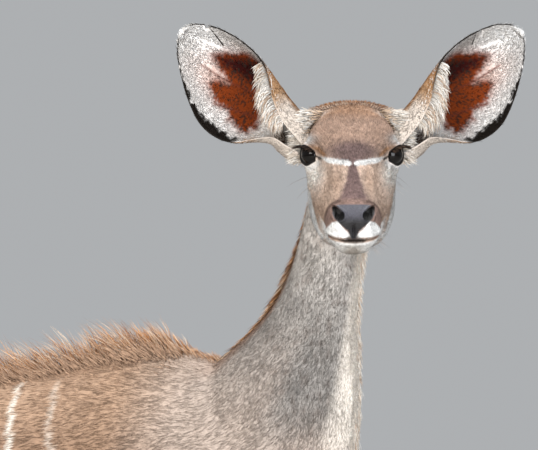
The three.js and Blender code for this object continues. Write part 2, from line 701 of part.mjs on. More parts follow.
// Where each leg leaves the torso: a plane that rises outwards from under the chest or the groin.
const armpit = { depth: 662, rise: 0.75, front: 470, rear: 120 };
const groin = { depth: 744, rise: 1.2, front: -284, rear: -900 };
function legRegion({ name, side }, grow) {
  const { depth, rise, front, rear } = name.startsWith('front') ? armpit : groin;
  const slope = vec(0, side * rise, -1).normalize();
  const top = halfSpace(vec(0, 0, depth).addScaledVector(slope, -grow), slope);
  const ahead = halfSpace(vec(front + grow, 0, 700), vec(-1, 0, 0));
  const behind = halfSpace(vec(rear - grow, 0, 700), vec(1, 0, 0));
  const half = halfSpace(vec(0, 0, 0), vec(0, side, 0));
  return top.intersect(ahead).intersect(behind).intersect(half);
}

const onBack = { angle: Math.PI / 2, spacing: 24, rows: [-7, 4, -3, 7], width: 33, thickness: 9 };
const onNape = { angle: -Math.PI / 2, spacing: 28, rows: [0], width: 26, thickness: 8 };
const withMane = union([body, ...mane(torso, backMane, onBack), ...mane(neck, neckMane, onNape)]);

const headSolid = headFlesh(0)
  .subtract(union([1, -1].map((side) => lidGap(side))))
  .subtract(union([1, -1].map((side) => ball(side, eyeRadius + partGap))))
  .subtract(union([1, -1].map((side) => nostrilPit(side))).transform(headFrame.elements))
  .subtract(mouthGroove().transform(headFrame.elements));
const headRegion = above(napeCut, 0);
const neckWhole = withMane.intersect(above(breastCut, partGap / 2)).subtract(headRegion);
const neckTop = withMane.intersect(headRegion);
const belowHead = neckWhole.subtract(headFlesh(partGap)).subtract(above(napeCut, -partGap));
addNode('head', headSolid.add(neckTop), materials.hide);
addNode('neck', belowHead, materials.neckHide);

for (const [name, side] of [['left', 1], ['right', -1]]) {
  addNode('eye_' + name, ball(side, eyeRadius), materials.eye);
  const shape = earShell(side);
  const whole = union([shape.solid, ...fringeLocks(shape, side)]).subtract(tearWedge(shape, side));
  const placed = whole.transform(faceFrame.elements);
  const outside = placed.subtract(headFlesh(partGap)).subtract(tube(neck, partGap));
  addNode('ear_' + name, outside, materials.earHide);
}

const trunk = withMane.subtract(above(breastCut, -partGap / 2));
addNode('torso', trunk.subtract(union(legs.map((leg) => legRegion(leg, partGap)))), materials.hide);
addNode('tail', union([tube(tail), ...tailLocks()]).subtract(tube(torso, partGap)), materials.tail);

for (const { leg, limb } of limbs) {
  const whole = trunk.intersect(legRegion(leg, 0)).intersect(halfSpace(coronetPoint(leg, 0), coronetNormal));
  addNode('leg_' + leg.name, whole, materials.hide);
  for (const [place, inOut] of [['inner', -leg.side], ['outer', leg.side]]) {
    addNode('hoof_' + leg.name + '_' + place, clawSolid(footOf(leg), inOut, leg), materials.horn);
    addNode('dewclaw_' + leg.name + '_' + place, dewClawSolid(limb, inOut), materials.horn);
  }
}

export default kudu;
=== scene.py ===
import json
import math

import bpy
import numpy as np
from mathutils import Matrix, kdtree

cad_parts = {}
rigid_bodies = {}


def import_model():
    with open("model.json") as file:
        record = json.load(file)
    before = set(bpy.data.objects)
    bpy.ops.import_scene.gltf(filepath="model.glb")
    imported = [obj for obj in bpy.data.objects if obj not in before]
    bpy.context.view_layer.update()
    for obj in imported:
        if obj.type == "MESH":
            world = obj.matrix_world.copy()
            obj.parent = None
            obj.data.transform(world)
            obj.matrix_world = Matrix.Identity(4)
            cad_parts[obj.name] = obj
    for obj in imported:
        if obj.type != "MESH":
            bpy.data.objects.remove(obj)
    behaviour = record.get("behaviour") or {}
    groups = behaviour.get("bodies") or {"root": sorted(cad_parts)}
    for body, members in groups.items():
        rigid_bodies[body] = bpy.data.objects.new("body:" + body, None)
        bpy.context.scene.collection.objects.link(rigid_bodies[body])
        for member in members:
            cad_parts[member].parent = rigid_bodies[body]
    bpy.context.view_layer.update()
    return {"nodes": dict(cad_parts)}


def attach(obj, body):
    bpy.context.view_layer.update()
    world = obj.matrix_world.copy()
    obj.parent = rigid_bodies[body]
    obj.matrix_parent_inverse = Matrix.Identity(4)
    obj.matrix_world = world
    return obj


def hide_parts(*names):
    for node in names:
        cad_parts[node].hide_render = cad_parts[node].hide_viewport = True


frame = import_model()
rng = np.random.default_rng(11)
sideNames = {1: "left", -1: "right"}  # her left is at positive y

# The animal is worked out in millimetres in her own frame, as her solids are: the midline is y = 0 and
# the ground z = 0. The ground point is taken off, and the rest turned to metres, when a mesh is made.
groundPoint = np.array([56.0, -41.0, 0.0])

head = {"turn": -68, "dip": 30, "eyeLine": (604, -108, 1535)}  # degrees, and the point between the eyes
coatDepth = {"torso": 6.0, "neck": 6.0, "leg": 2.5, "head": 2.5}  # from the solids' surface in to the skin
skinDetail = {
    "voxel": 8.6, "smoothing": 5, "finerSmoothing": 3, "blendRounds": 50, "sharpRounds": 14,
    "finer": ((-150, -140), (-45, -140), (148, -85)),  # least way ahead and up: head, face, nose and mouth
}


def toLinear(hexColour):
    # sRGB hex to linear light: low values over 12.92, the others as a power of 2.4
    values = np.array([int(hexColour[i:i + 2], 16) for i in (0, 2, 4)]) / 255
    return np.where(values <= 0.04045, values / 12.92, ((values + 0.055) / 1.055) ** 2.4)


def unit(ways):
    # each vector over its own length
    return ways / np.maximum(np.linalg.norm(ways, axis=-1, keepdims=True), 1e-9)


def stacked(*parts):
    # numbers and arrays side by side, as one row for each place
    return np.stack(np.broadcast_arrays(*parts), -1).astype(float)


def squareTo(ways, axis):
    # what is left of each way once its share along the axis is taken off, over its own length
    return unit(ways - (ways * axis).sum(-1, keepdims=True) * axis)


def ramp(value, low, high):
    # 0 under low, 1 over high, and 3t2 - 2t3 in between
    t = np.clip((value - low) / (high - low), 0, 1)
    return t * t * (3 - 2 * t)


def hill(points, centre, reach):
    # e to the minus squared distance, each axis counted in its own reach
    away = (points - np.array(centre, float)) / np.array(reach, float)
    return np.exp(-(away ** 2).sum(-1))


def lineDistance(points, line):
    # the least distance to a run of straight pieces, by each point's foot on every piece
    line = np.array(line, float)
    start, step = line[:-1], np.diff(line, axis=0)
    gap = points[:, None] - start
    share = np.clip((gap * step).sum(-1) / (step ** 2).sum(-1), 0, 1)
    return np.linalg.norm(gap - share[..., None] * step, axis=-1).min(1)


def noise(points, size, seed=0):
    # value noise from -1 to 1: a hashed number at each corner of a cubic lattice, blended by 3t2 - 2t3
    place = points / size + 17.31 * seed
    corner = np.floor(place).astype(np.int64)
    t = place - corner
    t = t * t * (3 - 2 * t)
    total = np.zeros(len(points))
    for i in range(8):
        step = np.array([i & 1, (i >> 1) & 1, i >> 2])
        at = corner + step
        key = (at[:, 0] * 73856093) ^ (at[:, 1] * 19349663) ^ (at[:, 2] * 83492791)
        key = (key * 1103515245 + 12345) & 0x7fffffff
        key = ((key ^ (key >> 13)) * 69069 + 1) & 0x7fffffff
        weight = np.where(step, t, 1 - t).prod(1)
        total += weight * ((key >> 8) % 4096) / 2047.5
    return total - 1


def turnAbout(axis, degrees):
    # rotation matrix about the y or z axis
    c, s = math.cos(math.radians(degrees)), math.sin(math.radians(degrees))
    if axis == "z":
        return np.array([[c, -s, 0], [s, c, 0], [0, 0, 1.0]])
    return np.array([[c, 0, s], [0, 1.0, 0], [-s, 0, c]])


levelTurn = turnAbout("z", head["turn"])  # +X the way she looks, +Y to her left, +Z up
headTurn = levelTurn @ turnAbout("y", head["dip"])  # +X from poll to nose, +Z out of the forehead
eyeLine = np.array(head["eyeLine"], float)


def fromFrame(turn, points):
    # from the head's frame or the level one to the animal's: turned, then moved out to the eye line
    return eyeLine + np.asarray(points, float) @ turn.T


def toFrame(turn, points):
    # the way back: the eye line taken off, then turned the other way
    return (points - eyeLine) @ turn


# Scene: camera, light and floor

view = {"azimuth": 22, "distance": 9000, "mmPerPixel": 1.5, "imageWidth": 538, "imageHeight": 450,
        "eyePixel": (352, 155), "sensor": 36, "farthest": 500}
studio = {"floor": "CFCCC7", "floorGrain": (0.7, 0.69, 0.67), "floorRadius": 24.0, "floorSides": 64,
          "world": "E4E7EA", "worldStrength": 0.54}
lamps = {  # place, aim, width in metres, watts and colour
    "key": ((0.2, -5.6, 3.4), (0.5, 0, 1.2), 2.4, 290, "FFFAF4"),
    "fill": ((4.6, -4.4, 1.7), (0.5, 0, 1.2), 3.0, 275, "F8FAFF"),
    "top": ((0.2, 1.2, 5.0), (0.2, 0, 1.0), 3.4, 170, "FFFFFF"),
}


def makeCamera():
    # level, so many millimetres in front of the eyes, and moved sideways and up until they sit at their
    # pixel. The lens is the sensor times the distance over the width of what is seen there
    a = math.radians(view["azimuth"])
    right, back = np.array([math.cos(a), math.sin(a), 0]), np.array([math.sin(a), -math.cos(a), 0])
    middle = np.array([view["imageWidth"], view["imageHeight"]]) / 2
    offset = (middle - view["eyePixel"]) * view["mmPerPixel"]
    place = eyeLine - groundPoint + back * view["distance"] + right * offset[0]
    place[2] -= offset[1]
    data = bpy.data.cameras.new("camera")
    data.sensor_width = view["sensor"]
    data.lens = view["sensor"] * view["distance"] / (view["imageWidth"] * view["mmPerPixel"])
    data.clip_end = view["farthest"]
    camera = bpy.data.objects.new("camera", data)
    camera.location = place / 1000
    camera.rotation_euler = (math.pi / 2, 0, a)
    bpy.context.collection.objects.link(camera)
    bpy.context.scene.camera = camera


def addLamp(name, place, aim, size, power, colour):
    # a square area lamp, tipped from straight down by the slant of its way to the aim, and turned to face it
    data = bpy.data.lights.new(name, "AREA")
    data.size = size
    data.energy = power
    data.color = toLinear(colour)
    lamp = bpy.data.objects.new(name, data)
    lamp.location = place
    x, y, z = np.array(aim, float) - np.array(place, float)
    lamp.rotation_euler = (math.atan2(math.hypot(x, y), -z), 0, math.atan2(y, x) - math.pi / 2)
    bpy.context.collection.objects.link(lamp)


def feed(tree, node, inputs):
    # each input gets a value, or a link from another node's socket
    for socket, value in inputs.items():
        if isinstance(value, bpy.types.NodeSocket):
            tree.links.new(value, node.inputs[socket])
        else:
            node.inputs[socket].default_value = value


def addNode(tree, kind, settings=None, inputs=None):
    # one node with its settings and its inputs
    node = tree.nodes.new(kind)
    for name, value in (settings or {}).items():
        setattr(node, name, value)
    feed(tree, node, inputs or {})
    return node


def stretched(tree, value, low, high, fromLow=0.0, fromHigh=1.0):
    # the value's share of one range, carried over to the range from low to high
    inputs = {"Value": value, "From Min": fromLow, "From Max": fromHigh, "To Min": low, "To Max": high}
    return addNode(tree, "ShaderNodeMapRange", inputs=inputs).outputs["Result"]


def objectPlace(tree):
    # the place on the object, in metres
    return addNode(tree, "ShaderNodeTexCoord").outputs["Object"]


def newMaterial(name):
    # an empty node tree with a principled shader on the output
    material = bpy.data.materials.new(name)
    material.use_nodes = True
    tree = material.node_tree
    tree.nodes.clear()
    shader = addNode(tree, "ShaderNodeBsdfPrincipled")
    addNode(tree, "ShaderNodeOutputMaterial", inputs={"Surface": shader.outputs["BSDF"]})
    return material, tree, shader


def makePiece(name, points, faces, material, colours=None, uv=None):
    # a mesh from points in millimetres and arrays of faces, with colours by point and a UV map by point
    mesh = bpy.data.meshes.new(name)
    corners = np.concatenate([np.asarray(f).ravel() for f in faces]).astype(np.int32)
    counts = np.concatenate([np.full(len(f), len(f[0]), np.int32) for f in faces if len(f)])
    mesh.vertices.add(len(points))
    mesh.vertices.foreach_set("co", ((points - groundPoint) / 1000).astype(np.float32).ravel())
    mesh.loops.add(len(corners))
    mesh.loops.foreach_set("vertex_index", corners)
    mesh.polygons.add(len(counts))
    mesh.polygons.foreach_set("loop_start", (np.cumsum(counts) - counts).astype(np.int32))
    mesh.update(calc_edges=True)
    mesh.validate()
    mesh.shade_smooth()
    if colours is not None:
        layer = mesh.color_attributes.new(name="coat", type="FLOAT_COLOR", domain="POINT")
        rgba = np.ones((len(points), 4), np.float32)
        rgba[:, :colours.shape[1]] = colours
        layer.data.foreach_set("color", rgba.ravel())
    if uv is not None:
        layer = mesh.uv_layers.new(name="OFBake")
        layer.uv.foreach_set("vector", uv[corners].astype(np.float32).ravel())
    mesh.materials.append(material)
    piece = bpy.data.objects.new(name, mesh)
    bpy.context.collection.objects.link(piece)
    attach(piece, "root")
    return piece


def floorMaterial():
    # matt painted floor: an even pale ground, whose faint clouds keep it from looking like a cut-out
    material, tree, shader = newMaterial("matt painted studio floor")
    grain = addNode(tree, "ShaderNodeTexNoise", inputs={"Vector": objectPlace(tree), "Scale": 3.0})
    colour = addNode(tree, "ShaderNodeMix", {"data_type": "RGBA"}, {
        "Factor": stretched(tree, grain.outputs["Fac"], 0.985, 1.0),
        "A": (*studio["floorGrain"], 1), "B": (*toLinear(studio["floor"]), 1)})
    feed(tree, shader, {"Base Color": colour.outputs["Result"], "Roughness": 0.9})
    return material


def makeStage():
    # a round floor, even light from all round, and the lamps
    mesh = bpy.data.meshes.new("floor")
    sides = studio["floorSides"]
    turn = np.linspace(0, 2 * math.pi, sides, endpoint=False)
    ring = stacked(np.cos(turn), np.sin(turn), 0) * studio["floorRadius"]
    mesh.from_pydata(ring.tolist(), [], [list(range(sides))])
    mesh.materials.append(floorMaterial())
    floor = bpy.data.objects.new("floor", mesh)
    bpy.context.collection.objects.link(floor)
    world = bpy.data.worlds.new("studio")
    world.use_nodes = True
    background = world.node_tree.nodes["Background"]
    background.inputs["Color"].default_value = (*toLinear(studio["world"]), 1)
    background.inputs["Strength"].default_value = studio["worldStrength"]
    bpy.context.scene.world = world
    for name, lamp in lamps.items():
        addLamp(name, *lamp)
    bpy.context.scene.view_settings.view_transform = "Standard"


makeCamera()
makeStage()
print("camera, light and floor")

# Body lines

# From buttocks to breast: x, half width, the heights of the back, the widest line and the belly, and how
# square the section is above and below.
torsoProfile = [
    (-616, 40, 1060, 1000, 935, 2, 2), (-600, 84, 1096, 1000, 890, 2, 2), (-560, 128, 1135, 1000, 850, 2, 2),
    (-480, 158, 1174, 1000, 815, 2.1, 2.1), (-400, 166, 1191, 998, 792, 2.1, 2.1),
    (-310, 164, 1193, 985, 772, 2, 2.1), (-200, 178, 1183, 962, 735, 1.95, 2.2),
    (-80, 196, 1184, 945, 704, 1.9, 2.2), (40, 198, 1200, 938, 688, 1.85, 2.15),
    (140, 184, 1222, 940, 684, 1.7, 2.05), (225, 166, 1240, 948, 690, 1.6, 2),
    (300, 154, 1238, 960, 708, 1.6, 1.95), (370, 146, 1218, 975, 740, 1.7, 1.9),
    (440, 132, 1184, 990, 785, 1.8, 1.9), (500, 112, 1140, 1000, 838, 1.9, 1.9),
    (540, 88, 1096, 1000, 884, 2, 2), (562, 52, 1058, 1000, 930, 2, 2),
]
torsoSwellings = [  # place, reach and height of each bone or hollow, alike on both sides
    ((-372, 138, 1122), (42, 50, 40), 9), ((-262, 168, 985), (70, 60, 110), -15),
    ((262, 126, 1110), (46, 60, 100), 9), ((150, 172, 1040), (50, 60, 120), -6),
    ((430, 122, 1060), (44, 50, 90), -8), ((470, 40, 850), (70, 50, 60), 8),
]
neckStations = [  # centre, half sizes to the side, front and back, and squareness of the front and back
    (352, 0, 985, 120, 182, 150, 2, 2), (412, 0, 1085, 108, 166, 152, 2, 2),
    (456, 0, 1172, 88, 132, 124, 2, 2), (487, -1, 1244, 69, 100, 92, 2, 2),
    (507, -4, 1302, 59, 78, 74, 2, 2), (523, -9, 1358, 54, 68, 66, 2, 2),
    (540, -15, 1420, 53, 64, 64, 2, 2), (556, -20, 1480, 55, 66, 64, 2, 2),
    (568, -27, 1530, 56, 66, 60, 2, 2), (576, -40, 1566, 44, 50, 46, 2, 2),
]
foreLegProfile = [  # x, distance from the midline, z, half sizes to the side, front and back
    (245, 60, 1150, 22, 30, 30), (262, 84, 1090, 34, 60, 58), (290, 102, 1020, 45, 84, 84),
    (318, 111, 950, 50, 96, 98), (330, 113, 880, 50, 90, 96), (322, 112, 810, 46, 68, 84),
    (312, 109, 745, 40, 46, 62), (312, 106, 680, 34, 38, 44), (316, 104, 600, 29, 33, 36),
    (321, 102, 520, 26, 29, 30), (325, 101, 455, 25, 27, 26), (327, 100, 425, 27, 29, 26),
    (327, 100, 395, 26.5, 28, 26), (325, 99, 365, 20, 21, 22), (322, 98, 290, 16.5, 17, 18.5),
    (320, 97, 190, 16.5, 16.5, 19), (321, 96, 140, 20, 19, 22), (325, 95, 112, 21.5, 22, 24),
    (335, 95, 84, 19, 19, 19), (344, 95, 60, 22, 22, 21), (349, 95, 40, 25, 26, 26),
]
hindLegProfile = [
    (-480, 76, 1120, 36, 78, 76), (-462, 100, 1040, 54, 116, 116), (-440, 112, 960, 58, 140, 138),
    (-420, 117, 880, 56, 140, 136), (-408, 118, 810, 50, 112, 122), (-420, 116, 750, 43, 82, 98),
    (-452, 113, 690, 36, 64, 72), (-490, 109, 630, 29, 50, 58), (-530, 105, 570, 24, 40, 50),
    (-556, 102, 520, 22, 33, 46), (-570, 100, 485, 22, 31, 38), (-572, 99, 445, 21, 29, 27),
    (-567, 98, 400, 18, 22, 22), (-557, 98, 300, 15.5, 18, 19), (-547, 97, 190, 16, 17.5, 20),
    (-543, 97, 140, 20, 20, 23), (-538, 97, 112, 21.5, 22.5, 24.5), (-528, 97, 84, 19, 19, 19),
    (-519, 97, 60, 22, 22, 21), (-513, 97, 40, 25, 26, 26),
]
legs = {  # profile, side (1 is her left) and how far the foot is set ahead
    "front_left": (foreLegProfile, 1, -16), "front_right": (foreLegProfile, -1, 22),
    "hind_left": (hindLegProfile, 1, 30), "hind_right": (hindLegProfile, -1, -34),
}
swingTop = 900  # height of the shoulder and the hip, where a leg swings from
# From poll to nose in the head's own frame, counted as the torso is, and its bones and hollows
headProfile = [
    (-128, 26, 2, -28, -60, 2, 2), (-118, 45, 22, -28, -80, 2.1, 2.2), (-92, 59, 42, -26, -100, 2.2, 2.6),
    (-60, 65, 52, -22, -108, 2.3, 2.9), (-28, 67, 56, -20, -110, 2.4, 3.4), (4, 66, 55, -20, -108, 2.4, 4),
    (34, 64, 52, -26, -106, 2.2, 4.4), (66, 61, 46, -32, -103, 2.1, 4.6), (98, 55, 40, -34, -101, 2.1, 4.4),
    (130, 45, 34, -30, -91, 2.1, 3.2), (158, 40, 30, -24, -76, 2.2, 2.2), (180, 39, 26, -22, -68, 2.3, 2.2),
    (196, 35, 18, -20, -58, 2.4, 2.3), (206, 24, 6, -20, -42, 2.2, 2.2),
]
faceSwellings = [
    ((-4, 58, 32), (25, 24, 16), 10), ((-12, 66, -24), (34, 24, 15), 8), ((-38, 66, 4), (20, 24, 24), 5),
    ((46, 54, 4), (28, 26, 24), -11), ((10, 58, -84), (60, 26, 26), 6), ((184, 30, -22), (22, 22, 16), 3),
    ((176, 6, -60), (24, 30, 12), 3), ((-76, 52, 22), (26, 24, 26), 11), ((150, 0, 30), (40, 10, 14), 2),
]


def through(rows, places):
    # Catmull-Rom through the rows of a table: each value is a cubic of its two neighbours on either side
    rows = np.asarray(rows, float)
    last = len(rows) - 1
    i = np.minimum(np.floor(places).astype(int), last - 1)
    t = (places - i)[:, None]
    a, b, c, d = (rows[np.clip(i + k, 0, last)] for k in (-1, 0, 1, 2))
    return b + 0.5 * t * (c - a + t * (2 * a - 5 * b + 4 * c - d + t * (3 * (b - c) + d - a)))


def loft(stations, face, along=None, grow=0.0, rings=60, sides=48, swellings=(), turn=None):
    # rings of superellipses carried along the stations: sideways the half width times cos to the power
    # 2 / squareness, frontwards the half depth times sin to that power, then moved out by the swellings
    spans = len(stations) - 1
    places = np.linspace(0, spans, rings)
    cut = through(stations, places)
    centre = cut[:, :3]
    if along is None:
        after, before = np.minimum(places + 0.05, spans), np.maximum(places - 0.05, 0)
        tangent = unit(through(stations, after)[:, :3] - through(stations, before)[:, :3])
    else:
        tangent = np.tile(np.array(along, float), (rings, 1))
    front = squareTo(face(places / spans), tangent)
    side = np.cross(front, tangent)
    angle = np.linspace(0, 2 * math.pi, sides, endpoint=False)
    c, s = np.cos(angle)[None], np.sin(angle)[None]
    power = 2 / np.where(s > 0, cut[:, 6, None], cut[:, 7, None])
    lateral = (cut[:, 3, None] + grow) * np.sign(c) * np.abs(c) ** power
    depth = (np.where(s > 0, cut[:, 4, None], cut[:, 5, None]) + grow) * np.sign(s) * np.abs(s) ** power
    points = centre[:, None] + side[:, None] * lateral[..., None] + front[:, None] * depth[..., None]
    out = unit(points - centre[:, None])
    mirrored = points * (1, 0, 1) + np.abs(points) * (0, 1, 0)
    for at, reach, height in swellings:
        points = points + out * (height * hill(mirrored, at, reach))[..., None]
    if turn is not None:
        points, centre, tangent = fromFrame(turn, points), fromFrame(turn, centre), tangent @ turn.T
    return {"points": points, "centre": centre, "tangent": tangent}


def ringQuads(rings, sides, wrapped=False):
    # a quad between two neighbours on two neighbouring rings; wrapped, the last ring meets the first
    r, k = np.meshgrid(np.arange(rings if wrapped else rings - 1), np.arange(sides), indexing="ij")
    here, ahead, after = r * sides, (r + 1) % rings * sides, (k + 1) % sides
    return np.stack([here + k, here + after, ahead + after, ahead + k], -1).reshape(-1, 4)


def facesOut(points, quads):
    # true where the cones from one point to all the quads hold a volume above zero
    a, b, c, d = (points[quads[:, k]] - points[0] for k in range(4))
    return (a * (np.cross(b, c) + np.cross(c, d))).sum() > 0


def closedTube(points):
    # rings of points with a fan of triangles to the middle of each end, and faces that look outwards
    rings, sides = points.shape[:2]
    flat = np.concatenate([points.reshape(-1, 3), points[:1].mean(1), points[-1:].mean(1)])
    quads = ringQuads(rings, sides)
    k, last = np.arange(sides), (rings - 1) * sides
    after = (k + 1) % sides
    fans = np.concatenate([
        np.stack([np.full(sides, last + sides), after, k], 1),
        np.stack([np.full(sides, last + sides + 1), last + k, last + after], 1)])
    if not facesOut(flat, quads):
        quads, fans = quads[:, ::-1], fans[:, ::-1]
    return flat, quads, fans


def torsoStations(profile):
    # heights turned to a centre on the midline, with a half size above it and one below
    return [(x, 0, middle, width, back - middle, middle - belly, backShape, bellyShape)
            for x, width, back, middle, belly, backShape, bellyShape in profile]


def legStations(name):
    # the profile on the leg's own side, swung ahead by the share of the way down from the swing's top
    profile, side, stride = legs[name]
    return [(x + stride * np.clip((swingTop - z) / swingTop, 0, 1), side * y, z, w, f, b, 2, 2)
            for x, y, z, w, f, b in profile]


def upward(share):
    # straight up at every ring
    return np.tile((0.0, 0.0, 1.0), (len(share), 1))


def forward(share):
    # straight ahead at every ring
    return np.tile((1.0, 0.0, 0.0), (len(share), 1))


def lookWay(share, start, end):
    # level, from straight ahead to the way the head looks, by a ramp over a stretch of the neck
    turn = np.radians(head["turn"] * ramp(share, start, end))
    return stacked(np.cos(turn), np.sin(turn), 0)


def neckFace(share):
    # the front of the neck turns with the head over most of its length
    return lookWay(share, 0.15, 0.95)


def throatWay(share):
    # the pale line of the throat stays ahead for longer and only turns near the jaw
    return lookWay(share, 0.55, 1.15)


def torsoLoft(grow=0.0, **more):
    # the torso of the solids, let out by so much
    return loft(torsoStations(torsoProfile), upward, (1, 0, 0), grow, swellings=torsoSwellings, **more)


def neckLoft(grow=0.0, **more):
    # the neck, let out by so much
    return loft(neckStations, neckFace, None, grow, **more)


def skullLoft(grow=0.0, **more):
    # the head without ears, let out by so much
    return loft(torsoStations(headProfile), upward, (1, 0, 0), grow, swellings=faceSwellings, turn=headTurn,
                **more)


def legLoft(name, grow=0.0, **more):
    # one leg down to its hooves, let out by so much
    return loft(legStations(name), forward, (0, 0, -1), grow, **more)


# Eyes, in the level frame: where each sits, and the opening of the lids as angles round the ball. Turn is
# counted outwards from straight ahead and lift upwards.
eye = {"place": (-6, 57, 1), "radius": 19.5, "mound": 20.9, "bulge": 0.8, "bulgeReach": 38}
lids = {"rows": 40, "columns": 104, "upperShare": 6 / 13, "dark": "14100E", "margin": [
    (-24, -14), (-9, -2), (8, 14), (25, 26), (50, 34), (78, 34), (97, 24),
    (100, 0), (88, -26), (64, -43), (37, -43), (14, -33), (-7, -22)]}


def eyePlace(side):
    # the middle of the ball in the animal's frame
    ahead, out, up = eye["place"]
    return fromFrame(levelTurn, np.array([ahead, side * out, up]))


def eyeDirection(side, angles):
    # turn and lift in degrees to a direction in the animal's frame
    turn, lift = np.radians(angles[..., 0]), np.radians(angles[..., 1])
    level = np.stack([np.cos(lift) * np.cos(turn), side * np.cos(lift) * np.sin(turn), np.sin(lift)], -1)
    return level @ levelTurn.T


def eyeAngles(side, points):
    # the way back from a point to its turn and lift as seen from the middle of the ball
    away = (points - eyePlace(side)) @ levelTurn
    turn = np.degrees(np.arctan2(side * away[:, 1], away[:, 0]))
    lift = np.degrees(np.arctan2(away[:, 2], np.hypot(away[:, 0], away[:, 1])))
    return np.stack([turn, lift], 1), np.linalg.norm(away, axis=1)


def lidMargin(count):
    # a closed Catmull-Rom curve: the upper lid from the inner to the outer corner, and the lower one back
    ring = lids["margin"]
    padded = ring[-1:] + ring + ring[:2]
    return through(padded, np.linspace(1, 1 + len(ring), count, endpoint=False))


def openingShare(angles):
    # how far out from the middle of the opening, where 1 is the margin of the lids
    margin = lidMargin(400)
    middle = margin.mean(0)
    edge = margin - middle
    bearing = np.arctan2(edge[:, 1], edge[:, 0])
    order = np.argsort(bearing)
    away = angles - middle
    reach = np.interp(np.arctan2(away[:, 1], away[:, 0]), bearing[order],
                      np.linalg.norm(edge, axis=1)[order], period=2 * math.pi)
    return np.linalg.norm(away, axis=1) / reach


# Skin: the lofts are joined, remeshed and smoothed, and the head is divided finer and worked in detail

def joinedLofts():
    # every loft and a ball at each eye as closed tubes, in one list of points and one of faces
    made = [torsoLoft(-coatDepth["torso"], rings=150, sides=96),
            neckLoft(-coatDepth["neck"], rings=90, sides=72),
            skullLoft(-coatDepth["head"], rings=110, sides=80)]
    made += [legLoft(name, -coatDepth["leg"], rings=150, sides=36) for name in legs]
    shapes = [one["points"] for one in made]
    lift, turn = np.meshgrid(np.linspace(-89, 89, 24), np.arange(0, 360, 10), indexing="ij")
    for side in (1, -1):
        shapes.append(eyePlace(side) + eye["mound"] * eyeDirection(side, np.stack([turn, lift], -1)))
    points, faces = [], []
    first = 0
    for shape in shapes:
        flat, quads, fans = closedTube(shape)
        points.append(flat)
        faces += (quads + first).tolist() + (fans + first).tolist()
        first += len(flat)
    return np.concatenate(points), faces


def remeshed(points, faces, voxel):
    # one closed skin of quads round all the lofts, from the voxel remesher
    mesh = bpy.data.meshes.new("lofts")
    mesh.from_pydata(points.tolist(), [], faces)
    source = bpy.data.objects.new("lofts", mesh)
    bpy.context.collection.objects.link(source)
    join = source.modifiers.new("join", "REMESH")
    join.mode = "VOXEL"
    join.voxel_size = voxel
    join.adaptivity = 0
    bpy.context.view_layer.update()
    made = bpy.data.meshes.new_from_object(source.evaluated_get(bpy.context.evaluated_depsgraph_get()))
    flat = np.empty(len(made.vertices) * 3)
    made.vertices.foreach_get("co", flat)
    corners = np.empty(len(made.loops), int)
    made.loops.foreach_get("vertex_index", corners)
    for old in (source, made, mesh):
        (bpy.data.objects if old is source else bpy.data.meshes).remove(old)
    return flat.reshape(-1, 3), corners.reshape(-1, 4)


def edgesOf(quads, others=()):
    # the sides of every face, each once
    pairs = [np.stack([quads, np.roll(quads, -1, 1)], 2).reshape(-1, 2)]
    for polygon in others:
        pairs.append(np.stack([polygon, np.roll(polygon, -1)], 1))
    return np.unique(np.sort(np.concatenate(pairs), 1), axis=0)


def neighbourMean(values, edges):
    # the sum of the values at the far ends of a point's edges over their count
    total = np.zeros_like(values)
    count = np.zeros(len(values))
    for a, b in ((0, 1), (1, 0)):
        for k in range(values.shape[1]):
            total[:, k] += np.bincount(edges[:, a], values[edges[:, b], k], len(values))
        count += np.bincount(edges[:, a], minlength=len(values))
    return total / np.maximum(count, 1)[:, None]


def smoothed(points, edges, rounds, where=None):
    # each point moves half way to its neighbours' mean and then a little further back, which keeps the size
    for _ in range(rounds):
        for share in (0.5, -0.52):
            step = share * (neighbourMean(points, edges) - points)
            points = points + (step if where is None else step * where[:, None])
    return points


def refine(points, quads, others, chosen):
    # each chosen quad becomes four, with a point on every edge and one in its middle
    count = len(points)
    pairs = np.sort(np.stack([quads, np.roll(quads, -1, 1)], 2), axis=2)
    keys = pairs[..., 0] * count + pairs[..., 1]
    split = np.unique(keys[chosen])
    found = np.minimum(np.searchsorted(split, keys), len(split) - 1)
    onEdge = split[found] == keys
    middle = count + found
    q, e = quads[chosen], middle[chosen]
    c = count + len(split) + np.arange(len(q))
    small = np.concatenate([
        np.stack([q[:, 0], e[:, 0], c, e[:, 3]], 1), np.stack([e[:, 0], q[:, 1], e[:, 1], c], 1),
        np.stack([c, e[:, 1], q[:, 2], e[:, 2]], 1), np.stack([e[:, 3], c, e[:, 2], q[:, 3]], 1)])
    border = ~chosen & onEdge.any(1)
    polygons = list(others)
    for corners, marks, mids in zip(quads[border], onEdge[border], middle[border]):
        ring = [x for k in range(4) for x in ([corners[k], mids[k]] if marks[k] else [corners[k]])]
        polygons.append(np.array(ring))
    made = np.concatenate([points, (points[split // count] + points[split % count]) / 2, points[q].mean(1)])
    return made, np.concatenate([quads[~chosen & ~border], small]), polygons


def vertexNormals(points, quads):
    # the crossed diagonals of the quads summed at their corners, so that a larger face counts for more
    normal = np.cross(points[quads[:, 2]] - points[quads[:, 0]], points[quads[:, 3]] - points[quads[:, 1]])
    total = np.zeros_like(points)
    for k in range(4):
        for axis in range(3):
            total[:, axis] += np.bincount(quads[:, k], normal[:, axis], len(points))
    return unit(total)


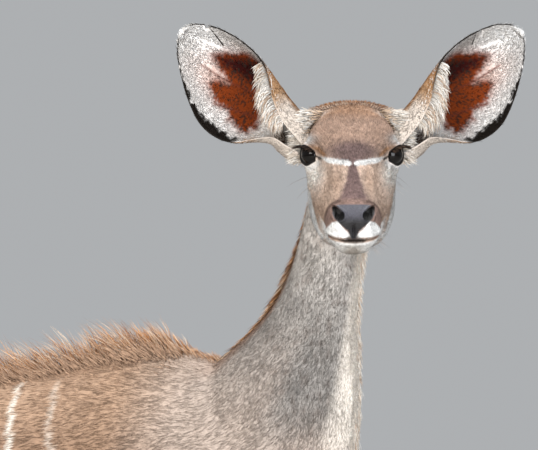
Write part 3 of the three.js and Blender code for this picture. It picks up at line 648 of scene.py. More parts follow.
# Points on the face are seen level, from the midline out and up from the eyes; those of the mouth are its
# way ahead and up in the head's own frame.
nose = {"nostrilTop": (28.5, -80), "nostrilFoot": (21, -91.5), "radii": (3.4, 7.6), "depth": 16,
        "mouthCorner": (112, -47), "mouthFront": (214, -27.5), "lipPad": (24, -115)}
faceFolds = [  # a line and the height of its ridge, or the depth of its groove, round the eyes
    ([(29, -16), (27, -36), (31, -58)], 2.4), ([(21, -20), (20, -44)], -1.6),
    ([(38, -18), (37, -40), (42, -62)], -1.8), ([(40, -70), (52, -78)], -1.6),
    ([(46, 2), (58, 14), (70, 17)], 2.0), ([(40, -3), (56, 24)], -1.2),
]
muzzleCrease = [(24, -66), (37, -74), (43, -88), (44, -106)]


def mouthHeight(f, s):
    # the line of the mouth in the head's frame: up from its corner by a power of the share of the way ahead,
    # and higher at the sides by the square of the distance from the midline
    (f0, u0), (f1, u1) = nose["mouthCorner"], nose["mouthFront"]
    t = np.clip((f - f0) / (f1 - f0), 0, 1)
    return u0 + (u1 - u0) * t ** 1.6 + 0.0035 * s * s


def nostrilGap(flat):
    # distance from the edge of a slanting drop, narrow above and wide below
    start, foot = np.array(nose["nostrilTop"]), np.array(nose["nostrilFoot"])
    step = foot - start
    share = np.clip((flat - start) @ step / (step @ step), 0, 1)
    thin, wide = nose["radii"]
    return np.linalg.norm(flat - start - share[:, None] * step, axis=1) - thin - (wide - thin) * share ** 0.7


def inside(flat, outline, blur):
    # 1 inside an outline and 0 outside it, blurred: a point is inside where a line from it crosses an odd
    # count of sides
    outline = np.array(outline, float)
    x, y = flat.T
    within = np.zeros(len(flat), bool)
    for (x0, y0), (x1, y1) in zip(outline, np.roll(outline, -1, 0)):
        if y0 != y1:
            within ^= ((y0 > y) != (y1 > y)) & (x < (x1 - x0) * (y - y0) / (y1 - y0) + x0)
    gap = lineDistance(flat, np.concatenate([outline, outline[:1]]))
    return ramp(np.where(within, gap, -gap), -blur, blur)


def workHead(points, normals):
    # pits, grooves and pads on the head: each is a depth along the normal that fades with distance
    own, level = toFrame(headTurn, points), toFrame(levelTurn, points)
    f, s, u = own.T
    flat = np.stack([np.abs(level[:, 1]), level[:, 2]], 1)
    inFront = ramp(f, 150, 172)
    gap = nostrilGap(flat)
    sink = nose["depth"] * inFront * (1 - ramp(gap, -4, 0.6))
    push = 2.0 * inFront * np.exp(-((gap - 1.8) / 2.0) ** 2)  # wing of the nostril
    lip = u - mouthHeight(f, s)
    push -= 3.2 * ramp(f, 104, 122) * (1 - 0.7 * ramp(np.abs(s), 14, 34)) * np.exp(-(lip / 1.8) ** 2)
    push += 2.0 * ramp(f, 120, 150) * np.exp(-((lip - 7) / 5) ** 2)  # upper lip
    push += 1.2 * ramp(f, 110, 140) * np.exp(-((lip + 6) / 5) ** 2)  # lower lip
    below = ramp(-flat[:, 1], 103, 110) * (1 - ramp(-flat[:, 1], 125, 130))
    push -= 2.4 * inFront * below * np.exp(-(s / 1.6) ** 2)  # furrow from nose to mouth
    push += 3.0 * inFront * hill(flat, nose["lipPad"], (12, 8))
    crease = lineDistance(flat, muzzleCrease)
    push -= 2.0 * ramp(f, 120, 140) * (1 - ramp(f, 172, 185)) * np.exp(-(crease / 2.5) ** 2)
    for line, height in faceFolds:
        push += height * ramp(level[:, 0], 0, 12) * np.exp(-(lineDistance(flat, line) / 3.5) ** 2)
    points = points + normals * push[:, None] - sink[:, None] * headTurn[:, 0]
    for side in (1, -1):  # the skin inside the lids is drawn in behind the ball
        angles, far = eyeAngles(side, points)
        near = (1 - ramp(openingShare(angles), 1.1, 1.5)) * (far < eye["radius"] + 14)
        wanted = np.minimum(far, eye["radius"] - 3)
        points = points + (points - eyePlace(side)) * (near * (wanted / far - 1))[:, None]
    return points


def nearestOf(points, targets):
    # the number of the target closest to each point, by a k-d tree
    tree = kdtree.KDTree(len(targets))
    for i, target in enumerate(targets.tolist()):
        tree.insert(target, i)
    tree.balance()
    return np.array([tree.find(p)[1] for p in points.tolist()])


def nearestLoft(points):
    # the closest ring point of the plain lofts: its part, 3 and up a leg, and the way along
    parts = [torsoLoft(-4, rings=80, sides=56), neckLoft(-4, rings=50, sides=44),
             skullLoft(-2, rings=56, sides=44)]
    parts += [legLoft(name, -2, rings=60, sides=16) for name in legs]
    at = [made["points"].reshape(-1, 3) for made in parts]
    part = np.repeat(np.arange(len(parts)), [len(one) for one in at])
    tangent = [np.repeat(made["tangent"], made["points"].shape[1], axis=0) for made in parts]
    found = nearestOf(points, np.concatenate(at))
    return part[found], np.concatenate(tangent)[found]


def makeSkinShape():
    # the skin and, for every point of it, its part, its share in each kind of part and the way the coat lies
    points, quads = remeshed(*joinedLofts(), skinDetail["voxel"])
    points = smoothed(points, edgesOf(quads), skinDetail["smoothing"])
    others = []
    for f0, u0 in skinDetail["finer"]:
        own = toFrame(headTurn, points[quads].mean(1))
        chosen = (own[:, 0] > f0) & (np.abs(own[:, 1]) < 95) & (own[:, 2] > u0) & (own[:, 2] < 80)
        chosen &= own[:, 0] + 0.6 * (own[:, 2] + 60) > f0 * 0.9
        points, quads, others = refine(points, quads, others, chosen)
        fresh = np.zeros(len(points))
        fresh[np.unique(quads[-4 * chosen.sum():])] = 1
        points = smoothed(points, edgesOf(quads, others), skinDetail["finerSmoothing"], fresh)
    points = workHead(points, vertexNormals(points, quads))
    edges = edgesOf(quads, others)
    part, tangent = nearestLoft(points)
    torso, neck, skull, leg = kinds = np.stack([part == 0, part == 1, part == 2, part > 2])[..., None]
    weights = kinds[..., 0].T.astype(float)
    flow = np.where(torso, (-1.0, 0, -0.35), 0) + np.where(neck, -tangent, 0)
    flow += np.where(skull, -tangent, 0) + np.where(leg, tangent, 0)
    for turn in range(skinDetail["blendRounds"]):  # the head keeps a sharper border than the other parts
        spread = 0.4 * weights + 0.6 * neighbourMean(weights, edges)
        if turn < skinDetail["sharpRounds"]:
            weights = spread
            flow = 0.4 * flow + 0.6 * neighbourMean(flow, edges)
        else:
            weights = np.where(weights[:, 2:3] < 0.02, spread, weights)
    return {"points": points, "quads": quads, "others": others, "normals": vertexNormals(points, quads),
            "part": part, "weights": weights, "flow": unit(flow)}


skin = makeSkinShape()
print("skin shape", len(skin["points"]), "points", 2 * len(skin["quads"]), "triangles")

# Markings and painted light and shade: one colour for every place on the coat, used by the skin and by the
# hair that grows there

coatColours = {name: toLinear(value) for name, value in {
    "back": "B5977F", "flank": "8C715D", "belly": "A8917D", "rump": "917660", "stripe": "EFE7DC",
    "shoulder": "BFB0A5", "neck": "A39F9B", "neckDark": "6F655F", "throat": "F8F0E6", "nape": "8A6248",
    "legOuter": "A48161", "legInner": "D5C6B2", "pastern": "E2DCD0", "kneeDark": "5A4A3E",
    "crown": "A48065", "forehead": "AE9382", "browMauve": "6F5C59", "brow": "8A6546", "white": "E2E2E1",
    "cheek": "CFB8A8", "cheekPaleAndLight": "FCF3EA", "foldShade": "57443D", "cheekLow": "A58C7A", "bridge": "74605D",
    "muzzle": "866F66", "jaw": "B39C89", "chinTan": "A39C94", "lipDarkAndShade": "2E2724", "pad": "4C4C55",
    "padFootShade": "171518", "pale": "CFC9C2", "nostrilShade": "0B0908",
}.items()}


def painted(colour, tones, layers):
    # layer by layer, the colour moves towards a named tone by a share held between 0 and 1
    for name, share in layers:
        colour = colour + (tones[name] - colour) * np.clip(share, 0, 1)[..., None]
    return colour


stripes = {"first": -475, "last": 145, "spacing": 69, "width": 5.5, "top": 1188, "foot": 800, "slant": 0.27}
# painted light: the neck is darker low down and lit up towards the jaw, to make up for the shade under the
# jaw
neckLightByHeight = ([1150, 1290, 1390, 1450], [0.7, 0.9, 1.5, 1.6])  # heights and how light the neck is there
faceLines = {  # on the face seen level, from the midline out and up from the eyes
    "cheek": [(36, -16), (35, -40), (42, -64)],
    "brow": [(41, -1), (51, 8), (63, 15)],
    "muzzle": [(-9, -66), (26, -68), (34, -76), (41, -86), (44, -104), (42, -122), (-9, -128)],
    "foldShade": [(20, -70), (30, -73), (38, -81), (43, -96), (42, -116)],
    "chevron": [(4.8, -14.2), (22, -12), (39, -8.6), (47, -4)],
    "underEye": [(52, -13), (62, -19), (77, -18)],
    "eyeCorner": [(56, -1), (46.5, -6.5)],
    "jawRim": [(66, -57), (62, -78), (58, -94), (53, -113), (46, -123)],
    "lipPatch": [(42, -112), (31, -101), (23, -99.5), (17, -108), (8, -117), (3.5, -123), (10, -124),
                 (26, -123), (43, -117)],
    "lipGapShade": [(-9, -117), (3, -118), (16, -128), (-9, -131)],
}
jawLine = [(10, 66, -56), (34, 64, -67), (60, 60, -72), (88, 53, -81), (108, 44, -89)]  # the head's frame
bridgeHalf = ([14, 40, 60, 75], [5, 11, 19, 26])  # depth below the eyes and half width of the dark bridge
padHalf = ([74, 80, 88, 96, 106, 114, 122, 127], [23, 30, 31.5, 28, 17, 8, 4, 3])  # the nose pad's


def stroke(flat, line, core, edge):
    # 1 within the core of a line and 0 beyond its edge
    return 1 - ramp(lineDistance(flat, line), core, edge)

def stripeShare(points):
    # slanting lines a set distance apart, bent by noise, that fade towards the back and the belly
    x, _, z = points.T
    bend = 9 * noise(points * (1, 0, 1), 150, 3) + 4 * noise(points * (1, 0, 1), 40, 4)
    place = (x + stripes["slant"] * (z - 1010) + bend - stripes["first"]) / stripes["spacing"]
    away = np.abs(place - np.round(place)) * stripes["spacing"]
    number = np.round(place)
    width = stripes["width"] * (0.75 + 0.35 * np.sin(number * 2.3 + 1) + 0.3 * noise(points, 60, 5))
    line = 1 - ramp(away, width * 0.6, width * 1.35)
    top, foot = stripes["top"], stripes["foot"]
    ends = ramp(z, foot, foot + 60) * (1 - ramp(z, top - 18, top + 14))
    last = (stripes["last"] - stripes["first"]) / stripes["spacing"]
    reach = (number > -0.5) * np.select([number > last + 0.5, number > last - 0.5], [0, 0.45], 1)
    return line * ends * reach


def bodyColour(points):
    # brown, lighter on the back and belly, greyer on the rump and shoulder, with the stripes over all
    x, _, z = points.T
    colour = painted(np.tile(coatColours["flank"], (len(points), 1)), coatColours, [
        ("back", ramp(z, 1040, 1170) * 0.9),
        ("rump", ramp(-x, 380, 520)),
        ("shoulder", ramp(x, 190, 330) * 0.85),
        ("belly", (1 - ramp(z, 700, 800)) * 0.9),
        ("stripe", stripeShare(points) * 0.92)])
    streak = 0.16 * noise(points * (0.45, 1, 1), 4, 13)
    return colour * (1 + 0.06 * noise(points, 45, 1) + 0.05 * noise(points, 14, 2) + streak)[:, None]


def neckColour(points):
    # grey with dark flecks, darker low down and painted lighter towards the jaw against the shade under it,
    # and lines up the throat and the nape by the way that they face
    z = points[:, 2]
    colour = np.tile(coatColours["neck"], (len(points), 1))
    fleck = ramp(noise(points * (1, 1, 0.4), 3.6, 6), 0.1, 0.7)
    colour = painted(colour, coatColours, [("neckDark", 0.6 * fleck)]) * np.interp(z, *neckLightByHeight)[:, None]
    heights = [station[2] for station in neckStations]
    axis = through(neckStations, np.interp(z, heights, np.arange(len(neckStations))))
    front = throatWay(np.interp(z, heights, np.linspace(0, 1, len(neckStations))))
    out = unit((points - axis[:, :3]) * (1, 1, 0))
    ahead = (out * front).sum(1)
    colour = painted(colour, coatColours, [
        ("shoulder", (1 - ramp(z, 1050, 1180)) * 0.5),
        ("shoulder", (1 - ramp(ahead, -0.2, 0.5)) * (1 - ramp(z, 1120, 1330)) * 0.75),
        ("throat", ramp(ahead, 0.84, 0.96) * (0.85 + 0.3 * noise(points * (1, 1, 0.2), 5, 14))),
        ("nape", ramp(-ahead, 0.9, 0.99) * 0.6 * (1 - ramp(z, 1370, 1440)))])
    return colour * (1 + 0.04 * noise(points * (1, 1, 0.6), 22, 7) + 0.12 * noise(points, 4, 8))[:, None]


def legColour(points):
    # tan outside, pale inside by the distance past the leg's own middle, dark at the hoof and the fore knee
    x, y, z = points.T
    inner = ramp(np.interp(z, [40, 400, 800], [96, 100, 116]) - np.abs(y), -4, 18)
    colour = painted(np.tile(coatColours["legOuter"], (len(points), 1)), coatColours, [
        ("flank", ramp(z, 620, 820)),
        ("legInner", inner * 0.75),
        ("pastern", hill(points[:, 2:], (92,), (22,)) * 0.85),
        ("kneeDark", (1 - ramp(z, 52, 74)) * 0.8),
        ("kneeDark", ramp(x, 150, 250) * hill(points[:, 2:], (660,), (46,)) * (1 - inner) * 0.35)])
    return colour * (1 + 0.09 * noise(points, 25, 9))[:, None]


def headColour(points):
    # each marking, and the painted light and shade, is a hill, a stroke along a line or an area inside an
    # outline, on the face seen level
    own, level = toFrame(headTurn, points), toFrame(levelTurn, points)
    f, _, u = own.T
    ahead = level[:, 0]
    flat = np.stack([np.abs(level[:, 1]), level[:, 2]], 1)
    s, up = flat.T
    facing, front, line = ramp(ahead, -30, 0), ramp(f, 128, 150), faceLines
    half = np.interp(-up, *bridgeHalf) * (1 + 0.12 * noise(points, 6, 12))
    chevronHalf = np.interp(s, [0, 6, 34, 47], [2.6, 3.9, 3.9, 1.2])
    chevron = 1 - ramp(lineDistance(flat, line["chevron"]), chevronHalf - 1, chevronHalf + 1)
    jaw = lineDistance(np.stack([f, np.abs(own[:, 1]), u], 1), jawLine)
    lip = u - mouthHeight(f, own[:, 1])
    padSide = np.interp(-up, *padHalf)
    pad = ramp(f, 172, 184) * ramp(-up, 73.5, 76) * (1 - ramp(-up, 123, 127))
    pad = pad * (1 - ramp(s, padSide - 1, padSide + 1))
    # the line where the lips meet: the lips' dark skin, with painted shade in the gap between them
    lipDarkAndShade = 1 - ramp(np.abs(lip), 1.0, np.interp(s, [0, 14, 24, 40], [6, 5, 2, 1.1]))
    colour = painted(np.tile(coatColours["cheek"], (len(points), 1)), coatColours, [
        ("forehead", ramp(up, -8, 6)),
        ("crown", ramp(up, 46, 70) * 0.9),
        ("browMauve", ramp(hill(flat, (4, 0), (36, 21)) * (up > -14), 0.12, 0.75)),
        ("cheekLow", ramp(-up, 54, 88) * 0.75),
        # a pale patch on the cheek, painted brighter than its own tone as painted light where the lamps fall
        # off on the side of the face
        ("cheekPaleAndLight", hill(flat, (62, -28), (17, 21)) * 1.3),
        ("cheekLow", hill(flat, (25, -44), (14, 30)) * 0.85),
        # painted shade: a line in the lower cheek's tone along the groove beside the ridge under the eye
        ("cheekLow", 0.35 * stroke(flat, line["cheek"], 1, 9)),
        ("brow", facing * 0.85 * stroke(flat, line["brow"], 1, 4.5)),
        ("bridge", facing * ramp(-up, 8, 15) * (1 - ramp(s, half * 0.7, half * 1.25)) * (f < 200)),
        ("muzzle", ramp(f, 120, 140) * inside(flat, line["muzzle"], 4)),
        # painted shade: a dark line along the crease where the muzzle block meets the cheek
        ("foldShade", ramp(f, 120, 140) * 0.7 * stroke(flat, line["foldShade"], 0.9, 2.4)),
        ("jaw", (1 - ramp(up, -128, -96)) * (1 - ramp(f, 60, 110))),
        ("pale", (1 - ramp(ahead, -34, -14)) * ramp(up, -34, -14) * (1 - ramp(up, 56, 74)) * 0.8),
        ("white", facing * chevron * (1 - 0.5 * ramp(s, 38, 48))),
        ("white", hill(flat, (72, 23), (15, 7)) * 1.3 * facing),
        ("white", 0.7 * facing * stroke(flat, line["underEye"], 2, 8)),
        ("lipDarkAndShade", facing * stroke(flat, line["eyeCorner"], 0.8, 2.2)),
        ("white", 1 - ramp(jaw, np.interp(f, [0, 80], [1.5, 3.5]), np.interp(f, [0, 80], [3.5, 6]))),
        ("white", stroke(flat, line["jawRim"], 3.2, 5.0) * (f < 128)),
        ("white", front * inside(flat, line["lipPatch"], 1.4)),
        ("white", ramp(f, 95, 140) * ramp(-lip, 2, 5)),
        # painted shade in the middle of the mouth, where the lips part below the nose pad
        ("lipDarkAndShade", front * inside(flat, line["lipGapShade"], 2) * 0.8),
        ("chinTan", ramp(f, 110, 140) * hill(flat, (0, -145), (17, 12)) * 1.15),
        ("pad", pad),
        # painted shade: the nose pad is darker towards its foot, where it turns down away from the light
        ("padFootShade", pad * (0.9 * ramp(-up, 88, 104) + 0.1 * ramp(-up, 76, 92))),
        # painted shade: the nostrils are painted near black inside, where they sink into the nose
        ("nostrilShade", ramp(f, 150, 170) * (1 - ramp(nostrilGap(flat), -0.8, 0.8))),
        # dark lip skin and painted shade along the mouth, thin towards the corners
        ("lipDarkAndShade", ramp(f, 106, 120) * lipDarkAndShade * (1 - 0.85 * ramp(s, 12, 30)))])
    grain = 1 + (1 - pad) * (0.07 * noise(points, 9, 10) + 0.3 * noise(points, 3.0, 11))
    return colour * grain[:, None], pad


def coatColour(points, weights):
    # the colours of the four kinds of part mixed by the weights, and how far a place is the bare nose
    colour = np.zeros((len(points), 3))
    bare = np.zeros(len(points))
    for k, paint in enumerate((bodyColour, neckColour, headColour, legColour)):
        some = weights[:, k] > 1e-3
        made = paint(points[some])
        if paint is headColour:
            made, bare[some] = made
            bare[some] *= weights[some, k]
        colour[some] += made * weights[some, k:k + 1]
    return np.clip(colour / np.maximum(weights.sum(1, keepdims=True), 1e-6), 0, 1), bare


# Materials

# Noise scales are cells in a metre: 170 by 640 is a clump of hair 6 mm long and 1.6 mm wide, coarser than
# real hair so that it shows, 320 is a fleck of 3 mm, and 620 is the 1.6 mm pebbling of a wet nose.


def hideMaterial():
    # short-haired hide: matt and finely streaked; where the coat's alpha says bare nose, moist and pebbled
    material, tree, shader = newMaterial("short haired hide")
    place = objectPlace(tree)
    coat = addNode(tree, "ShaderNodeAttribute", {"attribute_name": "coat"})
    bare = coat.outputs["Alpha"]
    lie = addNode(tree, "ShaderNodeMapping", inputs={
        "Vector": place, "Rotation": (0, 0.3, 0), "Scale": (170, 640, 480)})
    hair = addNode(tree, "ShaderNodeTexNoise", inputs={
        "Vector": lie.outputs["Vector"], "Scale": 1.0, "Detail": 3.0, "Roughness": 0.6})
    tone = stretched(tree, hair.outputs["Fac"], 0.72, 1.1, 0.3, 0.7)
    colour = addNode(tree, "ShaderNodeVectorMath", {"operation": "SCALE"}, {
        0: coat.outputs["Color"], "Scale": tone})
    pebble = addNode(tree, "ShaderNodeTexVoronoi", inputs={"Vector": place, "Scale": 620.0})
    height = addNode(tree, "ShaderNodeMix", inputs={
        "Factor": bare, "A": hair.outputs["Fac"], "B": pebble.outputs["Distance"]})
    bump = addNode(tree, "ShaderNodeBump", inputs={
        "Strength": 0.6, "Distance": 0.0016, "Height": height.outputs["Result"]})
    feed(tree, shader, {
        "Base Color": colour.outputs["Vector"], "Normal": bump.outputs["Normal"],
        "Roughness": stretched(tree, bare, 0.78, 0.34),
        "Specular IOR Level": stretched(tree, bare, 0.1, 0.36)})
    return material


def hairMaterial(name, rough=0.7, tip=1.2, root=0.6):
    # hair: the colour of its own place on the coat, darker at the root and lighter at the tip, with fine
    # flecks; hardly any gloss, so that the coat looks soft
    material, tree, shader = newMaterial(name)
    coat = addNode(tree, "ShaderNodeAttribute", {"attribute_name": "coat"})
    fleck = addNode(tree, "ShaderNodeTexNoise", inputs={
        "Vector": objectPlace(tree), "Scale": 320.0, "Detail": 1.0})
    tone = addNode(tree, "ShaderNodeMath", {"operation": "MULTIPLY"}, {
        0: stretched(tree, coat.outputs["Alpha"], root, tip),
        1: stretched(tree, fleck.outputs["Fac"], 0.86, 1.12, 0.3, 0.7)})
    colour = addNode(tree, "ShaderNodeVectorMath", {"operation": "SCALE"}, {
        0: coat.outputs["Color"], "Scale": tone.outputs["Value"]})
    feed(tree, shader, {
        "Base Color": colour.outputs["Vector"], "Roughness": rough, "Specular IOR Level": 0.08})
    return material


def plainMaterial(name, dark, light, rough, scale, bumpDepth, stretch=(1, 1, 1), shine=0.5):
    # two tones mixed by stretched noise, which also gives the bump
    material, tree, shader = newMaterial(name)
    mapping = addNode(tree, "ShaderNodeMapping", inputs={"Vector": objectPlace(tree), "Scale": stretch})
    grain = addNode(tree, "ShaderNodeTexNoise", inputs={
        "Vector": mapping.outputs["Vector"], "Scale": scale, "Detail": 4.0})
    colour = addNode(tree, "ShaderNodeMix", {"data_type": "RGBA"}, {
        "Factor": grain.outputs["Fac"], "A": (*toLinear(dark), 1), "B": (*toLinear(light), 1)})
    bump = addNode(tree, "ShaderNodeBump", inputs={
        "Strength": 0.5, "Distance": bumpDepth, "Height": grain.outputs["Fac"]})
    feed(tree, shader, {
        "Base Color": colour.outputs["Result"], "Normal": bump.outputs["Normal"], "Roughness": rough,
        "Specular IOR Level": shine})
    return material


hide = hideMaterial()
fur = hairMaterial("short coat hair")
longHair = hairMaterial("long guard hair", rough=0.55, tip=1.35, root=0.5)  # a little silkier, light tips
# dark horn worn smooth: a dull sheen over streaks that run down the hoof
horn = plainMaterial("hoof horn, worn smooth", "1B1715", "3A322C", 0.42, 60.0, 0.0006, (1, 1, 6))
# a wet cornea over a dark iris: nearly black, with small sharp reflections of the lamps
wetEye = plainMaterial("wet eye", "030202", "0C0705", 0.05, 40.0, 0.0, shine=0.22)


def withBareness(colour, bare=0.0):
    # the coat's colour with the share of bare skin as its fourth value
    return np.column_stack([colour, np.broadcast_to(bare, len(colour))])


def makeHide():
    # one skin over head, neck, torso and legs
    colour, bare = coatColour(skin["points"], skin["weights"])
    faces = [skin["quads"]] + [np.array([polygon]) for polygon in skin["others"]]
    piece = makePiece("hide", skin["points"], faces, hide, colours=withBareness(colour, bare))
    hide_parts("head", "neck", "torso", *["leg_" + name for name in legs])


makeHide()
print("hide")

# Eyes and lids


def makeEye(side):
    # a ball with a low bulge of the cornea over the middle of the opening
    lift, turn = np.meshgrid(np.linspace(-89.5, 89.5, 48), np.arange(0, 360, 5), indexing="ij")
    angles = np.stack([turn, lift], -1)
    middle = lidMargin(100).mean(0)
    away = np.hypot((angles[..., 0] - middle[0] + 180) % 360 - 180, angles[..., 1] - middle[1])
    radius = eye["radius"] + eye["bulge"] * np.exp(-(away / eye["bulgeReach"]) ** 2)
    points, quads, fans = closedTube(eyePlace(side) + radius[..., None] * eyeDirection(side, angles))
    name = "eye_" + sideNames[side]
    piece = makePiece(name + "_ball", points, [quads, fans], wetEye)
    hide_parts(name)


lidSection = [  # share beyond the margin, and height over the ball
    (-0.14, -2.5), (-0.04, 0.1), (0.0, 0.9), (0.05, 2.2), (0.12, 3.0), (0.2, 2.7), (0.27, 2.3), (0.36, 3.2),
    (0.48, 3.4), (0.62, 2.6), (0.8, 0.6), (0.95, -2.5),
]


def makeLids(side):
    # a closed ring: its section of shares and heights is carried round the margin of the opening
    margin = lidMargin(lids["columns"])
    middle = margin.mean(0)
    beyond, height = through(lidSection, np.linspace(0, len(lidSection) - 1, lids["rows"])).T
    angles = middle + (margin - middle)[None] * (1 + beyond)[:, None, None]
    radius = eye["radius"] + height[:, None]
    flat = (eyePlace(side) + radius[..., None] * eyeDirection(side, angles)).reshape(-1, 3)
    quads = ringQuads(lids["rows"], lids["columns"], wrapped=True)
    if not facesOut(flat, quads):
        quads = quads[:, ::-1]
    colour, _ = coatColour(flat, np.tile((0.0, 0, 1, 0), (len(flat), 1)))
    dark = 1 - ramp(np.repeat(beyond, lids["columns"]), 0.1, 0.24)
    colour = colour * (1 - dark[:, None]) + toLinear(lids["dark"]) * dark[:, None]
    makePiece("lids_" + sideNames[side], flat, [quads], hide, colours=withBareness(colour, 0.5 * dark))


for side in sideNames:
    makeEye(side)
    makeLids(side)
print("eyes and lids")

# Ears: a trough round its own axis, as in the solids, with veins, a thin rim and an old tear in each

earProfile = [  # distance, half widths to the inner and outer edge, degrees that each edge curls, depth
    (-46, 30, 31, 172, 165, 30), (-22, 34, 33, 168, 156, 33), (0, 35, 33, 163, 146, 35),
    (20, 37, 47, 152, 122, 39), (40, 40, 67, 138, 103, 44), (60, 44, 80, 119, 92, 49),
    (84, 49, 87, 99, 84, 52), (108, 52, 87, 84, 78, 53), (132, 51, 80, 74, 71, 50),
    (156, 47, 69, 67, 64, 45), (180, 40, 54, 60, 58, 38), (200, 31, 38, 54, 54, 29),
    (213, 20, 22, 48, 48, 19), (220, 8, 8, 42, 42, 9),
]
ear = {"root": (-52, 100, 41), "axis": (-0.17, 0.717, 0.676), "opening": (0.97, 0.06, -0.2),
       "thickness": 5.0, "rim": 1.6, "start": -46, "length": 220, "rows": 168, "columns": 92}
tears = {1: {"at": 170, "width": 2.6, "cut": 0.22, "slit": [(168, 40), (156, 30)]},
         -1: {"at": 192, "width": 4.2, "cut": 0.3, "slit": [(194, 30), (178, 25), (163, 21)]}}
# Lines and areas on the wall of the ear: the way along it, and across it towards the inner edge
veins = [([(160, -18), (124, -10), (88, 2)], 0.8), ([(154, -26), (116, -17), (86, -5)], -1.2),
         ([(120, -49), (80, -32), (54, -20)], 0.8), ([(190, 6), (150, 20), (110, 34)], 0.6)]
earMarks = {
    "orange": [(170, -2), (150, 22), (120, 42), (86, 46), (68, 16), (50, -8), (38, -38), (50, -58),
               (80, -57), (90, -50), (114, -54), (144, -40), (140, -27), (124, -17), (146, -13)],
    "red": [(162, -1), (133, 22), (108, 37), (86, 43), (68, 18), (84, 8), (112, 4), (142, -4)],
    "veinShadeLines": ([(168, -24), (128, -18), (84, -4)], [(114, -54), (78, -38), (52, -26)]),
    "rust": [(-40, -33), (0, -40), (34, -52)],
    "border": ([34, 50, 72, 100, 130, 160, 220], [0, 9, 15, 13, 7, 3, 2]),  # the way along, and its breadth
}


def earAxes(side):
    # along the ear, out of its mouth and towards its inner edge, square to one another
    flip = np.array([1, side, 1])
    along = unit(np.array(ear["axis"]) * flip)
    mouth = squareTo(np.array(ear["opening"]) * flip, along)
    return along, mouth, unit(np.cross(along, mouth) * -side)


def earThickness(distance, share):
    # from thick at the root to thin at the tip by the share of the length, and thinner towards both edges
    thick = ear["thickness"] + (ear["rim"] - ear["thickness"]) * np.clip(distance / ear["length"], 0, 1)
    return thick * (0.35 + 0.65 * (1 - np.abs(share) ** 6))


def tearGap(side, distance, share):
    # how far along the ear a place is from the middle of the tear in its rim
    return np.abs(distance - tears[side]["at"] - 6 * share)


def earWall(side, distance, share, thin, relief=0.0):
    # a place on the wall from the distance along the ear and the share of the curl, -1 outer to 1 inner edge
    table = np.array(earProfile, float)
    place = np.interp(distance, table[:, 0], np.arange(len(table)))
    shape = place.shape
    row = through(table, place.ravel()).reshape(*shape, 6)
    gape = 1 - tearGap(side, distance, share) / tears[side]["width"]
    notch = tears[side]["cut"] * np.clip(gape, 0, 1) ** 0.7
    curl = np.radians(np.where(share > 0, row[..., 3] * (1 - notch * ramp(share, 0.2, 1)), row[..., 4]))
    sharp = np.radians(np.where(share > 0, row[..., 3], row[..., 4]))
    width = np.where(share > 0, row[..., 1], row[..., 2])
    half = np.where(sharp > math.pi / 2, width, width / np.sin(np.minimum(sharp, math.pi / 2))) - thin
    turn = share * curl
    along, mouth, inner = earAxes(side)
    root = np.array(ear["root"]) * (1, side, 1)
    lateral, deep = half * np.sin(turn), -(row[..., 5] - thin - relief) * np.cos(turn)
    level = root + along * distance[..., None] + inner * lateral[..., None] + mouth * deep[..., None]
    return fromFrame(levelTurn, level), lateral


def earGrid(side):
    # rows along the ear and columns across it: the outer wall, and the inner one with its veins in relief
    distance, share = np.meshgrid(np.linspace(ear["start"], ear["length"], ear["rows"]),
                                  np.linspace(-1, 1, ear["columns"]), indexing="ij")
    thin = earThickness(distance, share)
    outer, _ = earWall(side, distance, share, 0 * thin)
    _, lateral = earWall(side, distance, share, thin)
    flat = np.stack([distance.ravel(), lateral.ravel()], 1)
    relief = sum(height * np.exp(-(lineDistance(flat, line) / 2.6) ** 2) for line, height in veins)
    inner, lateral = earWall(side, distance, share, thin, relief.reshape(distance.shape) * (distance > 40))
    return distance, share, outer, inner, lateral


earColours = {name: toLinear(value) for name, value in {
    "white": "FBFAF8", "pink": "D2AC9C", "red": "2C0301", "orange": "702E0A", "black": "211C18",
    "grey": "B9B3AE",
    "back": "A98664", "backPale": "CFC4B9", "hollowShade": "3B2A20", "veinShade": "5E2A1A", "gold": "93683F",
}.items()}


def liningColour(side, distance, place, rough, fine):
    # white with a red and an orange patch and dark dots in them, with painted shade along the veins, in the
    # hollow and down the slit
    flat = place.reshape(-1, 2)
    spot = flat + np.stack([5 * rough, 3 * fine], -1).reshape(-1, 2)

    def shaped(values):
        return values.reshape(distance.shape)

    zone = shaped(0.5 * inside(spot, earMarks["orange"], 8) + 0.65 * inside(spot, earMarks["orange"], 22))
    red = shaped(inside(spot, earMarks["red"], 11))
    dots = shaped(noise(np.column_stack([flat, 0 * flat[:, 0]]), 1.9, 23))
    layers = [
        ("pink", hill(place, (140, -24), (44, 26)) * (0.7 + 0.15 * fine)),
        ("grey", hill(place, (100, -62), (56, 16)) * (0.3 + 0.2 * fine)),
        ("grey", hill(place, (150, 38), (50, 15)) * (0.85 + 0.2 * fine)),
        ("orange", zone * (1.05 + 0.1 * fine)),
        ("red", red * (1.1 + 0.3 * fine)),
        ("black", ramp(zone, 0.2, 0.9) * ramp(dots + 0.4 * rough, 0.05, 0.5) * 0.8)]
    # painted shade: dark lines beside the ridges of the veins
    for line in earMarks["veinShadeLines"]:
        layers.append(("veinShade", 0.85 * np.exp(-shaped(lineDistance(flat, line) / 1.7) ** 2)))
    # painted shade: dark in the hollow at the root of the ear, where it runs in
    layers.append(("hollowShade", hill(place, (-2, -20), (24, 16)) * 1.2))
    # painted shade: a black line down the slit of the tear, where the gap would show dark
    layers.append(("black", shaped(stroke(flat, tears[side]["slit"], 1.0, 2.2))))
    return painted(np.tile(earColours["white"], (*distance.shape, 1)), earColours, layers)


